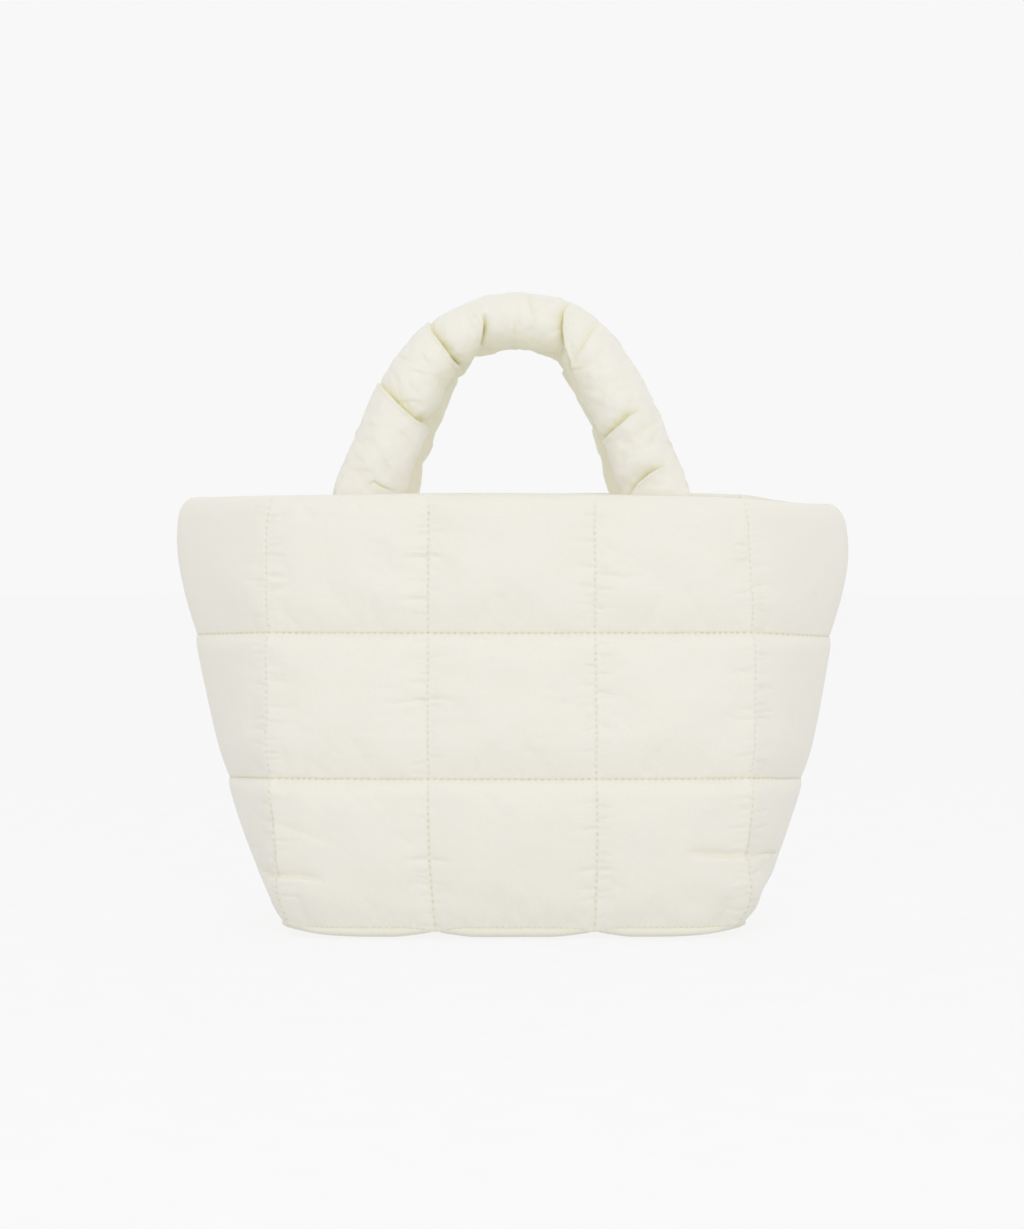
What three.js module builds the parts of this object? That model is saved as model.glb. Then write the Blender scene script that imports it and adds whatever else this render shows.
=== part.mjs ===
// A small padded tote bag, quilted in squares, with two stuffed tube handles.
// Millimetres, +Z up. The origin is on the surface that the bag stands on, under its middle.
// The front faces -Y, and +X is to the right of someone who looks at the front.
import * as THREE from "three";

// Driving dimensions
const RIM_HEIGHT = 217;
// Heights of the level seams above the surface that the bag stands on
const BASE_SEAM = 5.7;
const LOWER_SEAM = 77.8;
const UPPER_SEAM = 148.5;
// Half the width of the middle column of squares, as a share of half the panel
const MIDDLE_COLUMN_SHARE = 0.345;
// Half the wall's thickness where it is sewn through, and the space left between two panels
const SEAM_HALF = 1.2;
const SEAM_GAP = 0.5;

// Padding: how far the pillows stand out of the sewn sheet, and how soon they rise beside a seam
const ROW_SWELL = 2.2;
const PILLOW_OUTSIDE = 6.2;
const PILLOW_INSIDE = 2.2;
const RISE_BESIDE_UPRIGHT_SEAM = 24;
const RISE_BESIDE_LEVEL_SEAM = 15;
const RIM_ROLL = 10;
const FULL_FLARE = 30;
const FOLD_ROUNDING = 0.28;
const MITRE_STRETCH = 6;

// Height of the dents near the bottom corners
const DENT_LEVEL = 38;

// The sewn sheet of the wall at several levels. The front and back panels reach halfWidth to each
// side at cornerDepth, and swell by bulge in the middle. The gussets fold outwards as far as foldLeft
// and foldRight.
const WALL_LEVELS = [
  { z: BASE_SEAM, halfWidth: 111.5, cornerDepth: 56.5, bulge: 1.5, foldLeft: 112.0, foldRight: 113.0 },
  { z: DENT_LEVEL, halfWidth: 115.5, cornerDepth: 55.0, bulge: 4.5, foldLeft: 128.0, foldRight: 131.0 },
  { z: LOWER_SEAM, halfWidth: 118.0, cornerDepth: 51.0, bulge: 6.5, foldLeft: 142.5, foldRight: 145.5 },
  { z: UPPER_SEAM, halfWidth: 118.5, cornerDepth: 41.0, bulge: 7.5, foldLeft: 159.0, foldRight: 160.0 },
  { z: 196, halfWidth: 118.0, cornerDepth: 36.0, bulge: 7.5, foldLeft: 166.5, foldRight: 166.5 },
  { z: RIM_HEIGHT, halfWidth: 117.5, cornerDepth: 33.5, bulge: 7.5, foldLeft: 164.0, foldRight: 163.5 },
];

// How far the soft rim sinks below its full height, once round the wall
const RIM_SAG = [
  { turn: 0.0, sag: 1.2 },
  { turn: 0.5, sag: 0.0 },
  { turn: 1.0, sag: 2.4 },
  { turn: 1.5, sag: 6.0 },
  { turn: 2.0, sag: 1.2 },
  { turn: 2.5, sag: 0.0 },
  { turn: 3.0, sag: 1.2 },
  { turn: 3.5, sag: 2.6 },
  { turn: 4.0, sag: 1.2 },
];

// Dents where the wall buckles near the bottom corners of the front
const DENTS = [
  { x: 112, z: 40, reach: 24, tall: 6, depth: 4.0 },
  { x: -108, z: 30, reach: 20, tall: 6, depth: 2.5 },
];
const DENT_FADE = 30;

// Base panel
const BASE_TOP = 5.2;
const BASE_EDGE_BOTTOM = 2.8;
const BASE_PILLOW_BELOW = 4.4;
const BASE_PILLOW_ABOVE = 2.0;
const BASE_RISE = 11;
const WALL_FOOT_WIDTH = 6;

// Path of the front handle's middle, from the end sewn inside the rim on the left, over the top,
// to the end on the right, with half its width across the path and half its depth along Y
const HANDLE_PATH = [
  { x: -75.0, y: -35.0, z: 186, halfWidth: 15.5, halfDepth: 2.5 },
  { x: -73.0, y: -33.6, z: 203, halfWidth: 17.0, halfDepth: 3.6 },
  { x: -70.0, y: -27.5, z: 219, halfWidth: 17.6, halfDepth: 8.0 },
  { x: -63.5, y: -24.5, z: 237, halfWidth: 16.4, halfDepth: 13.0 },
  { x: -53.4, y: -22.5, z: 261, halfWidth: 16.4, halfDepth: 15.0 },
  { x: -42.8, y: -21.0, z: 279, halfWidth: 16.2, halfDepth: 15.5 },
  { x: -32.6, y: -20.0, z: 290, halfWidth: 15.8, halfDepth: 15.5 },
  { x: -14.0, y: -19.0, z: 300.6, halfWidth: 14.0, halfDepth: 15.5 },
  { x: 5.0, y: -19.0, z: 303, halfWidth: 13.7, halfDepth: 15.5 },
  { x: 26.0, y: -19.0, z: 298, halfWidth: 14.6, halfDepth: 15.5 },
  { x: 39.5, y: -20.0, z: 284, halfWidth: 15.4, halfDepth: 15.5 },
  { x: 54.0, y: -22.5, z: 260, halfWidth: 15.8, halfDepth: 15.0 },
  { x: 63.3, y: -24.5, z: 237, halfWidth: 16.0, halfDepth: 13.0 },
  { x: 69.8, y: -27.5, z: 219, halfWidth: 17.0, halfDepth: 8.0 },
  { x: 73.0, y: -33.6, z: 203, halfWidth: 17.0, halfDepth: 3.6 },
  { x: 74.5, y: -35.0, z: 186, halfWidth: 15.5, halfDepth: 2.5 },
];

// Creases across the handle. row is a place on the path, depth the share of the radius that is lost
// at the inner side, outerShare how much of that reaches the outer side, and slant how far the
// outer end leads the inner end along the path.
const HANDLE_CREASES = [
  { row: 2, depth: 0.04, outerShare: 1.0, slant: 0 },
  { row: 4, depth: 0.24, outerShare: 0.45, slant: 4.0 },
  { row: 6, depth: 0.24, outerShare: 0.35, slant: 1.6 },
  { row: 7.2, depth: 0.16, outerShare: 0.1, slant: 0 },
  { row: 9, depth: 0.24, outerShare: 0.4, slant: -3.8 },
  { row: 11.5, depth: 0.13, outerShare: 0.1, slant: 3.0 },
  { row: 13, depth: 0.08, outerShare: 0.6, slant: 3.0 },
];
const CREASE_RISE = 14;

// The back handle mirrors the front one, drawn in a little and leaning a little to the right
const BACK_HANDLE_WIDTH_SHARE = 0.96;
const BACK_HANDLE_SHIFT = 2.0;

// Facets
const STEPS_PER_CELL = 7;
const STEPS_PER_HALF_ROW = 4;
const STEPS_ACROSS_GUSSET = 10;
const STEPS_ACROSS_BASE = 8;
const HANDLE_SIDES = 14;
const STEPS_PER_HANDLE_SEGMENT = 6;

const IVORY_FABRIC = { color: 0xefeee2, roughness: 0.85, metalness: 0 };

// Smooth values between the rows of a table, by the column named key
function smoothTable(rows, key, columns) {
  const places = rows.map((row) => row[key]);
  const values = rows.flatMap((row) => columns.map((name) => row[name]));
  const curve = new THREE.CubicInterpolant(places, values, columns.length, new Float64Array(columns.length));
  return (place) => {
    const found = curve.evaluate(place);
    return Object.fromEntries(columns.map((name, index) => [name, found[index]]));
  };
}

// Places from each stop to the next, closer together beside the stops
function clusteredBetween(stops, stepsBetween) {
  const places = [stops[0]];
  for (let k = 1; k < stops.length; k++) {
    const steps = Array.isArray(stepsBetween) ? stepsBetween[k - 1] : stepsBetween;
    for (let i = 1; i <= steps; i++) {
      const share = (1 - Math.cos((Math.PI * i) / steps)) / 2;
      places.push(THREE.MathUtils.lerp(stops[k - 1], stops[k], share));
    }
  }
  return places;
}

// How far padding has risen at a distance from its seam: a quarter ellipse
function swell(distance, rise) {
  const short = 1 - THREE.MathUtils.clamp(distance / rise, 0, 1);
  return Math.sqrt(1 - short * short);
}

const nearest = (value, places) => Math.min(...places.map((place) => Math.abs(value - place)));

// A closed solid between two sheets of points, given as rows. The outer sheet faces out when its
// columns run to the right and its rows run up. Where joinedTop is set the sheets share their last row.
function solidBetweenSheets(outer, inner, joinedTop) {
  const rows = outer.length;
  const columns = outer[0].length;
  const positions = [];
  for (const point of [...outer.flat(), ...inner.flat()]) positions.push(point.x, point.y, point.z);
  const outerAt = (row, column) => row * columns + column;
  const innerAt = (row, column) =>
    joinedTop && row === rows - 1 ? outerAt(row, column) : (rows + row) * columns + column;

  const faces = [];
  const quad = (a, b, c, d) => faces.push(a, b, c, a, c, d);
  for (let row = 0; row < rows - 1; row++) {
    for (let column = 0; column < columns - 1; column++) {
      const corners = [[row, column], [row, column + 1], [row + 1, column + 1], [row + 1, column]];
      quad(...corners.map((corner) => outerAt(...corner)));
      quad(...corners.reverse().map((corner) => innerAt(...corner)));
    }
  }
  const closeEdge = (from, to) => {
    const edge = [outerAt(...to), outerAt(...from), innerAt(...from), innerAt(...to)];
    if (edge[0] === edge[3]) faces.push(edge[0], edge[1], edge[2]);
    else quad(...edge);
  };
  for (let column = 0; column < columns - 1; column++) {
    closeEdge([0, column], [0, column + 1]);
    if (!joinedTop) closeEdge([rows - 1, column + 1], [rows - 1, column]);
  }
  for (let row = 0; row < rows - 1; row++) {
    closeEdge([row, columns - 1], [row + 1, columns - 1]);
    closeEdge([row + 1, 0], [row, 0]);
  }
  const geometry = new THREE.BufferGeometry();
  geometry.setAttribute("position", new THREE.Float32BufferAttribute(positions, 3));
  geometry.setIndex(faces);
  geometry.computeVertexNormals();
  return geometry;
}

// Wall

const wallAt = smoothTable(WALL_LEVELS, "z", ["halfWidth", "cornerDepth", "bulge", "foldLeft", "foldRight"]);
const rimSagAt = smoothTable(RIM_SAG, "turn", ["sag"]);

// The rounded fold of a gusset, from 0 at its seams to 1 at the fold
function foldProfile(across) {
  const height = (place) => Math.hypot(place, FOLD_ROUNDING);
  return (height(1) - height(across)) / (height(1) - height(0));
}

// The sewn sheet in plan. Turn 0 to 1 is the front, then the right gusset, the back, the left gusset.
function wallPlan(turn, z) {
  const level = wallAt(z);
  const halfTurn = THREE.MathUtils.euclideanModulo(turn, 2);
  const facing = THREE.MathUtils.euclideanModulo(turn, 4) < 2 ? 1 : -1;
  const across = 2 * (halfTurn % 1) - 1;
  const point = new THREE.Vector2();
  if (halfTurn < 1) {
    point.set(across * level.halfWidth, -level.cornerDepth - level.bulge * (1 - across ** 2));
  } else {
    const fold = facing > 0 ? level.foldRight : level.foldLeft;
    const flare = fold - level.halfWidth;
    point.set(level.halfWidth + flare * foldProfile(across), across * level.cornerDepth);
  }
  return point.multiplyScalar(facing);
}

// The way out of the wall in plan, averaged over a short stretch so that panels meet in a mitre
function wallOutward(turn, z) {
  const level = wallAt(z);
  const frontStep = MITRE_STRETCH / (2 * level.halfWidth);
  const gussetStep = MITRE_STRETCH / (2 * Math.hypot(level.cornerDepth, level.foldRight - level.halfWidth));
  const stepTo = (side) => {
    const onFront = THREE.MathUtils.euclideanModulo(turn + side * 1e-6, 2) < 1;
    return turn + side * (onFront ? frontStep : gussetStep);
  };
  const along = wallPlan(stepTo(1), z).sub(wallPlan(stepTo(-1), z));
  return new THREE.Vector2(along.y, -along.x).normalize();
}

// Upright seams of the front, back and base, as shares of the half width
const COLUMN_SEAMS = [-1, -MIDDLE_COLUMN_SHARE, MIDDLE_COLUMN_SHARE, 1];

const LEVEL_SEAMS = [BASE_SEAM, LOWER_SEAM, UPPER_SEAM];
const WALL_ROWS = clusteredBetween(
  [BASE_SEAM, DENT_LEVEL, LOWER_SEAM, UPPER_SEAM, RIM_HEIGHT],
  [STEPS_PER_HALF_ROW, STEPS_PER_HALF_ROW, STEPS_PER_CELL, STEPS_PER_CELL],
);

// How deep the dents are at a place on the wall. They fade out round the corner, towards the back.
function dentDepth(plan, z) {
  const frontShare = THREE.MathUtils.smoothstep(-plan.y, 0, DENT_FADE);
  return DENTS.reduce((sum, dent) => {
    const along = (plan.x - dent.x) / dent.reach;
    const up = (z - dent.z) / dent.tall;
    return sum + frontShare * dent.depth * Math.exp(-(along ** 2) - up ** 2);
  }, 0);
}

// One sewn panel of the wall, on its stretch of the turn. uprightSwell says how far the padding has
// risen beside the upright seams, from 0 to 1, at a share of the way across the panel and a level.
function wallPanel(firstTurn, width, acrossPlaces, uprightSwell) {
  const gapShare = SEAM_GAP / 2 / width;
  const outer = [];
  const inner = [];
  for (const z of WALL_ROWS) {
    const levelSwell = swell(nearest(z, LEVEL_SEAMS), RISE_BESIDE_LEVEL_SEAM);
    const roll = swell(RIM_HEIGHT - z, RIM_ROLL);
    const topRowShare = THREE.MathUtils.smoothstep(z, UPPER_SEAM, RIM_HEIGHT);
    const outerRow = [];
    const innerRow = [];
    for (const across of acrossPlaces) {
      const turn = firstTurn + THREE.MathUtils.lerp(gapShare, 1 - gapShare, across);
      const plan = wallPlan(turn, z);
      const outward = wallOutward(turn, z);
      const height = z - rimSagAt(turn).sag * topRowShare;
      const padding = uprightSwell(across, z) * levelSwell;
      const lift = ROW_SWELL * levelSwell - dentDepth(plan, z);
      const outOfSheet = (lift + SEAM_HALF + PILLOW_OUTSIDE * padding) * roll;
      const intoSheet = (lift - SEAM_HALF - PILLOW_INSIDE * padding) * roll;
      const place = (offset) =>
        new THREE.Vector3(plan.x + outward.x * offset, plan.y + outward.y * offset, height);
      outerRow.push(place(outOfSheet));
      innerRow.push(place(intoSheet));
    }
    outer.push(outerRow);
    inner.push(innerRow);
  }
  return solidBetweenSheets(outer, inner, true);
}

function quiltedPanel(firstTurn) {
  const width = 2 * wallAt(UPPER_SEAM).halfWidth;
  const seams = COLUMN_SEAMS.map((seam) => (1 + seam) / 2);
  const places = clusteredBetween(seams, STEPS_PER_CELL);
  const uprightSwell = (across) => swell(nearest(across, seams) * width, RISE_BESIDE_UPRIGHT_SEAM);
  return wallPanel(firstTurn, width, places, uprightSwell);
}

function foldedGusset(firstTurn) {
  const width = 2 * wallAt(BASE_SEAM).cornerDepth;
  const places = clusteredBetween([0, 0.5, 1], STEPS_ACROSS_GUSSET / 2);
  const uprightSwell = (across, z) => {
    const beside = swell(nearest(across, [0, 1]) * width, RISE_BESIDE_UPRIGHT_SEAM);
    const level = wallAt(z);
    const squeezed = THREE.MathUtils.smoothstep(level.foldRight - level.halfWidth, 0, FULL_FLARE);
    return beside * (1 - squeezed * foldProfile(2 * across - 1));
  };
  return wallPanel(firstTurn, width, places, uprightSwell);
}

// Base

function quiltedBase() {
  const level = wallAt(BASE_SEAM);
  const halfWidth = level.halfWidth + SEAM_HALF;
  const halfDepthAt = (across) => level.cornerDepth + level.bulge * (1 - across ** 2) + SEAM_HALF;
  const innerSeams = COLUMN_SEAMS.slice(1, -1);
  const top = [];
  const bottom = [];
  for (const along of clusteredBetween([-1, 1], STEPS_ACROSS_BASE)) {
    const topRow = [];
    const bottomRow = [];
    for (const across of clusteredBetween(COLUMN_SEAMS, STEPS_PER_CELL)) {
      const halfDepth = halfDepthAt(across);
      const x = across * halfWidth;
      const y = along * halfDepth;
      const fromEdge = Math.min(halfWidth - Math.abs(x), halfDepth - Math.abs(y));
      const fromSeam = nearest(across, innerSeams) * halfWidth;
      const edgeSwell = swell(fromEdge, BASE_RISE);
      const below = BASE_PILLOW_BELOW * edgeSwell * swell(fromSeam, BASE_RISE);
      const above = swell(fromEdge - WALL_FOOT_WIDTH, BASE_RISE) * swell(fromSeam, BASE_RISE);
      topRow.push(new THREE.Vector3(x, y, BASE_TOP + BASE_PILLOW_ABOVE * above));
      bottomRow.push(new THREE.Vector3(x, y, Math.max(0, BASE_EDGE_BOTTOM - below)));
    }
    top.push(topRow);
    bottom.push(bottomRow);
  }
  return solidBetweenSheets(top, bottom, false);
}

// Handles

function stuffedHandle() {
  const points = HANDLE_PATH.map((row) => new THREE.Vector3(row.x, row.y, row.z));
  const path = new THREE.CatmullRomCurve3(points);
  const lastRow = HANDLE_PATH.length - 1;
  const numbered = HANDLE_PATH.map((row, index) => ({ ...row, index }));
  const sizeAt = smoothTable(numbered, "index", ["halfWidth", "halfDepth"]);
  const placeAt = (row) => path.getPoint(row / lastRow);
  const distanceBetween = (rowA, rowB) => placeAt(rowA).distanceTo(placeAt(rowB));

  // A crease's hold on a ring: 1 on the crease, falling to 0 as the stuffing swells beside it
  const holdOf = (crease, row) => 1 - swell(distanceBetween(crease.row, row), CREASE_RISE);

  const creaseRows = HANDLE_CREASES.map((crease) => crease.row);
  const rings = clusteredBetween([0, ...creaseRows, lastRow], STEPS_PER_HANDLE_SEGMENT).map((row) => {
    const middle = placeAt(row);
    const forward = path.getTangent(row / lastRow);
    const acrossDepth = new THREE.Vector3(0, 1, 0).addScaledVector(forward, -forward.y).normalize();
    const outward = new THREE.Vector3().crossVectors(forward, acrossDepth);
    const size = sizeAt(row);
    const holds = HANDLE_CREASES.map((crease) => holdOf(crease, row));
    return Array.from({ length: HANDLE_SIDES }, (_, side) => {
      const angle = (2 * Math.PI * side) / HANDLE_SIDES;
      const outerness = (1 + Math.cos(angle)) / 2;
      let radiusShare = 1;
      let lead = 0;
      HANDLE_CREASES.forEach((crease, index) => {
        radiusShare -= holds[index] * crease.depth * THREE.MathUtils.lerp(1, crease.outerShare, outerness);
        lead += holds[index] * crease.slant * Math.cos(angle);
      });
      return middle
        .clone()
        .addScaledVector(outward, size.halfWidth * radiusShare * Math.cos(angle))
        .addScaledVector(acrossDepth, size.halfDepth * radiusShare * Math.sin(angle))
        .addScaledVector(forward, lead);
    });
  });
  return closedTube(rings);
}

// The mirror image of a handle on the other side of the bag, with its faces turned to point out again
function mirroredToBack(geometry) {
  geometry.scale(BACK_HANDLE_WIDTH_SHARE, -1, 1);
  geometry.translate(BACK_HANDLE_SHIFT, 0, 0);
  const corners = geometry.index.array;
  for (let first = 0; first < corners.length; first += 3) corners.subarray(first, first + 3).reverse();
  geometry.computeVertexNormals();
  return geometry;
}

// A closed tube through rings of points, with a flat cap at each end
function closedTube(rings) {
  const sides = rings[0].length;
  const positions = rings.flat().flatMap((point) => point.toArray());
  const faces = [];
  for (let ring = 0; ring < rings.length - 1; ring++) {
    for (let side = 0; side < sides; side++) {
      const here = ring * sides + side;
      const beside = ring * sides + ((side + 1) % sides);
      faces.push(here, here + sides, beside + sides, here, beside + sides, beside);
    }
  }
  const last = (rings.length - 1) * sides;
  for (let side = 1; side < sides - 1; side++) {
    faces.push(0, side, side + 1);
    faces.push(last, last + side + 1, last + side);
  }
  const geometry = new THREE.BufferGeometry();
  geometry.setAttribute("position", new THREE.Float32BufferAttribute(positions, 3));
  geometry.setIndex(faces);
  geometry.computeVertexNormals();
  return geometry;
}

// Assembly

function piece(name, geometry) {
  const mesh = new THREE.Mesh(geometry, new THREE.MeshStandardMaterial(IVORY_FABRIC));
  mesh.name = name;
  return mesh;
}

const bag = new THREE.Group();
bag.add(piece("front_panel", quiltedPanel(0)));
bag.add(piece("right_gusset", foldedGusset(1)));
bag.add(piece("back_panel", quiltedPanel(2)));
bag.add(piece("left_gusset", foldedGusset(3)));
bag.add(piece("base_panel", quiltedBase()));
bag.add(piece("front_handle", stuffedHandle()));
bag.add(piece("back_handle", mirroredToBack(stuffedHandle())));

export default bag;
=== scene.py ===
import math
from typing import NamedTuple

import bpy
import numpy as np
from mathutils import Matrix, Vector


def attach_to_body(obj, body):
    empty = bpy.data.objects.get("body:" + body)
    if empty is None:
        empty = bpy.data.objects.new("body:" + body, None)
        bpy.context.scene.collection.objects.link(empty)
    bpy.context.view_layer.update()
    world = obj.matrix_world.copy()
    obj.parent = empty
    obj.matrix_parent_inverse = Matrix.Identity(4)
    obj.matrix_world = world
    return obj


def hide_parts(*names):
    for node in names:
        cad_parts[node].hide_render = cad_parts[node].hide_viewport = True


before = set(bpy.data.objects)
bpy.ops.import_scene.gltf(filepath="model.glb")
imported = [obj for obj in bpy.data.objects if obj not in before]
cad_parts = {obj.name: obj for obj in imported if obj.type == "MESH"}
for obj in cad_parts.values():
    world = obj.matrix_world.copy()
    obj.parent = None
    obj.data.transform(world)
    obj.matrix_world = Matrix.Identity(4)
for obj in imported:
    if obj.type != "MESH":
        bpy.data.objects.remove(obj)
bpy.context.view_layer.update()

MM = 0.001
BODY = "root"

# Driving dimensions, as in the solids
RIM_HEIGHT = 217.0
BASE_SEAM = 5.7
LOWER_SEAM = 77.8
UPPER_SEAM = 148.5
LEVEL_STOPS = np.array([BASE_SEAM, LOWER_SEAM, UPPER_SEAM, RIM_HEIGHT])
LEVEL_SEAMS = LEVEL_STOPS[:-1]
MIDDLE_COLUMN_SHARE = 0.345
SEAM_HALF = 1.2
STITCH = 3.25

# Padding, in millimetres out of the sewn sheet: a whole row of squares, and its pillows on both faces
ROW_SWELL = 2.2
PILLOW_OUTSIDE = 6.0
PILLOW_INSIDE = 2.2
# How far from an upright seam a pillow is full, and the share of its height that inner and corner seams take
UPRIGHT_RISE = 23.0
UPRIGHT_PULL = 0.45
CORNER_PULL = 0.3
# How far from a level seam the square under it and the square over it are full, with the power of the rise,
# and the share of the height that each of the three level seams takes
HEAD_RISE = 9.0
HEAD_CURVE = 2.8
FOOT_RISE = 22.0
FOOT_CURVE = 2.2
LEVEL_PULLS = (0.15, 0.66, 0.66)
# The rolled rim: how far down it reaches, and how far outside the sewn sheet its middle lies
RIM_ROLL = 10.0
RIM_MIDDLE = 2.0
# The fold of a gusset: the flare that squeezes its padding flat, its rounding as a share of the half length,
# and how far it is rounded off at the rim and over what height
FULL_FLARE = 14.0
FOLD_ROUNDING = 0.28
RIM_END_ROUNDING = 5.5
RIM_END_HEIGHT = 11.0
# How far to both sides the direction of the wall is averaged, so that panels meet in a mitre
MITRE_STRETCH = 6.0

# The sewn sheet of the wall at several levels: z, half width of the front, depth of its corners, bulge of
# its middle, and how far the left and the right gusset fold outwards
WALL_LEVELS = np.array([
    (BASE_SEAM, 108.4, 53.2, 2.2, 105.8, 106.8),
    (14.0, 110.9, 54.4, 2.9, 113.8, 115.4),
    (24.0, 113.0, 54.8, 3.5, 121.8, 125.8),
    (38.0, 115.5, 55.0, 4.5, 128.0, 131.6),
    (56.0, 117.2, 53.7, 5.6, 134.6, 137.6),
    (LOWER_SEAM, 118.0, 51.0, 6.5, 140.9, 144.2),
    (UPPER_SEAM, 118.5, 41.0, 7.5, 157.0, 158.4),
    (196.0, 118.0, 36.0, 7.5, 165.6, 166.3),
    (RIM_HEIGHT, 117.5, 33.5, 7.5, 164.0, 163.5),
])

# How far the soft rim sinks below its full height, once round the wall: turn, sag
RIM_SAG = np.array([
    (0.0, 1.2), (0.5, 0.0), (1.0, 2.6), (1.25, 5.0), (1.5, 5.4), (1.75, 4.6), (2.0, 0.4),
    (2.5, 0.0), (3.0, 1.2), (3.5, 2.0), (4.0, 1.2),
])

# How far the seams sink where a gusset folds: z, at the left fold, at the right fold
FOLD_DROOP = np.array([
    (BASE_SEAM, 0.0, 0.0), (LOWER_SEAM, 3.4, 4.2), (UPPER_SEAM, 2.4, 3.6), (RIM_HEIGHT, 0.0, 0.0),
])
# How far the base seam dips where the upright seams run into it, and how high up that is felt
BASE_DIP = 2.0
BASE_DIP_REACH = 9.0
BASE_DIP_HEIGHT = 22.0
# How far the bottom corners are drawn in, and how far along the seam and up the wall that is felt
CORNER_TUCK = 5.0
CORNER_REACH = 13.0
CORNER_HEIGHT = 28.0

# How far the front's upright seams stray along X: z, left corner, left and right inner seam, right corner
SEAM_STRAY = np.array([
    (BASE_SEAM, 0.9, 0.4, 2.4, 0.6),
    (13.0, 1.0, 0.3, 2.2, 1.6),
    (20.0, 2.0, 0.2, 1.8, 0.4),
    (36.0, 4.7, 0.0, 1.2, -4.4),
    (66.0, 4.2, 0.0, 0.3, -4.5),
    (LOWER_SEAM, 2.4, 0.0, 0.0, -3.9),
    (113.0, 2.0, 0.0, -0.3, -3.2),
    (UPPER_SEAM, 0.7, 0.0, -0.6, -2.4),
    (180.0, 0.2, 0.0, -0.6, -3.9),
    (206.0, 0.0, 0.0, -0.6, -4.4),
    (RIM_HEIGHT, 1.4, 0.0, 0.0, -5.4),
])
# How far that is felt along X, how far past the corner seams, at least and as a share of the gusset's flare,
# and how far in front of the middle of the bag it is full
STRAY_REACH = 16.0
STRAY_BEYOND = 8.0
STRAY_FLARE_SHARE = 0.7
STRAY_FRONT = 25.0

# Seam grooves and needle holes: depth and half width, the share of a needle hole's depth at corner seams, and
# the share of both at the seam of the base
GROOVE_DEPTH = 0.3
GROOVE_HALF = 0.5
NEEDLE_DEPTH = 0.6
NEEDLE_HALF = 0.55
CORNER_NEEDLE_SHARE = 0.7
BASE_SEAM_SHARE = 0.5


class Fold(NamedTuple):
    """A fold in the cloth, along points (x, z) seen from the front. The cloth sinks softly on the left of
    the way along it and turns up sharply on the right, where a lip may stand proud. The left may be tucked
    under the right. It starts and ends with a share of its depth."""
    points: tuple
    depth: float
    soft: float
    sharp: float
    lip: float = 0.0
    tuck: float = 0.0
    start: float = 0.0
    end: float = 0.0


# How far beside a fold a tuck slides the cloth, and the power with which a fold fades to its ends
TUCK_REACH = 2.5
FOLD_FADE = 0.7
# The hollow of a fold: the share of it that is a narrow crease, how narrow that is, and the depth from which
# a fold takes its full painted shade
CREASE_SHARE = 0.6
CREASE_WIDTH = 0.3
DEEP_FOLD = 4.0
# Where its lip lies and half the lip's width, in widths of the sharp side
LIP_PLACE = 2.2
LIP_HALF = 1.5
# How far the painted shade of a crease reaches on its soft and on its sharp side
PAINTED_SHADE_SOFT = 1.6
PAINTED_SHADE_SHARP = 0.5

# Buckles of the wall near the front's bottom corners: points, depth, soft, sharp, lip, tuck, start, end
WALL_FOLDS = (
    Fold(((84, 42.2), (97, 41.0), (110, 40.0)), 8.0, 6.0, 2.2, 0.0, 0.0, 0.0, 0.5),
    Fold(
        ((106, 37.0), (109.5, 38.2), (115.5, 40.0), (120.5, 39.4), (134, 36.5)),
        3.0, 2.5, 1.0, 0.2, 0.2, 0.0, 0.1,
    ),
    Fold(((-128, 41.0), (-121, 42.5), (-116, 42.5)), 1.2, 2.5, 1.2, 0.0, 0.0, 0.2, 0.6),
    Fold(((-119, 30.0), (-114, 30.0), (-103, 30.5), (-90, 28.5)), 6.0, 5.0, 2.2, 0.0, 0.0, 0.4, 0.0),
    Fold(((-114, 57.0), (-104, 53.0), (-88, 47.0)), 1.5, 5.0, 3.0, 0.0, 0.0, 0.6, 0.0),
)
# How far in front of the middle of the bag these are full
WALL_FOLD_FRONT = 30.0

# Path of the front handle's middle, from the end sewn inside the rim on the left, over the top, to the end
# on the right: x, y, z, half its width across the path, half its depth along Y
HANDLE_PATH = np.array([
    (-75.0, -35.0, 186.0, 15.5, 2.5),
    (-73.0, -33.6, 203.0, 17.0, 3.6),
    (-70.0, -27.5, 219.0, 17.6, 8.0),
    (-63.5, -24.5, 237.0, 16.4, 13.0),
    (-53.4, -22.5, 261.0, 16.4, 15.0),
    (-42.8, -21.0, 278.6, 15.4, 15.5),
    (-32.6, -20.0, 289.6, 15.0, 15.5),
    (-14.0, -19.0, 300.4, 13.2, 15.5),
    (5.0, -19.0, 303.0, 13.5, 15.5),
    (26.0, -19.0, 297.6, 14.4, 15.5),
    (39.5, -20.0, 284.0, 15.4, 15.5),
    (54.0, -22.5, 260.0, 15.8, 15.0),
    (63.3, -24.5, 237.0, 16.0, 13.0),
    (69.8, -27.5, 219.0, 17.0, 8.0),
    (73.0, -33.6, 203.0, 17.0, 3.6),
    (74.5, -35.0, 186.0, 15.5, 2.5),
])

# Pinches across the handle: place on the path, share of the radius lost at the inner side, how much of that
# reaches the outer side, and how far the outer end leads the inner end along the path
HANDLE_PINCHES = (
    (2.0, 0.04, 1.0, 0.0),
    (4.0, 0.14, 0.1, 4.0),
    (4.9, 0.16, 0.05, 0.0),
    (5.8, 0.20, 0.1, 1.6),
    (6.7, 0.24, 0.0, 0.0),
    (9.1, 0.22, 0.1, -3.8),
    (11.7, 0.10, 0.0, 3.0),
    (13.0, 0.05, 0.3, 3.0),
)
# How far along the handle a pinch is felt
PINCH_RISE = 15.0

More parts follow.
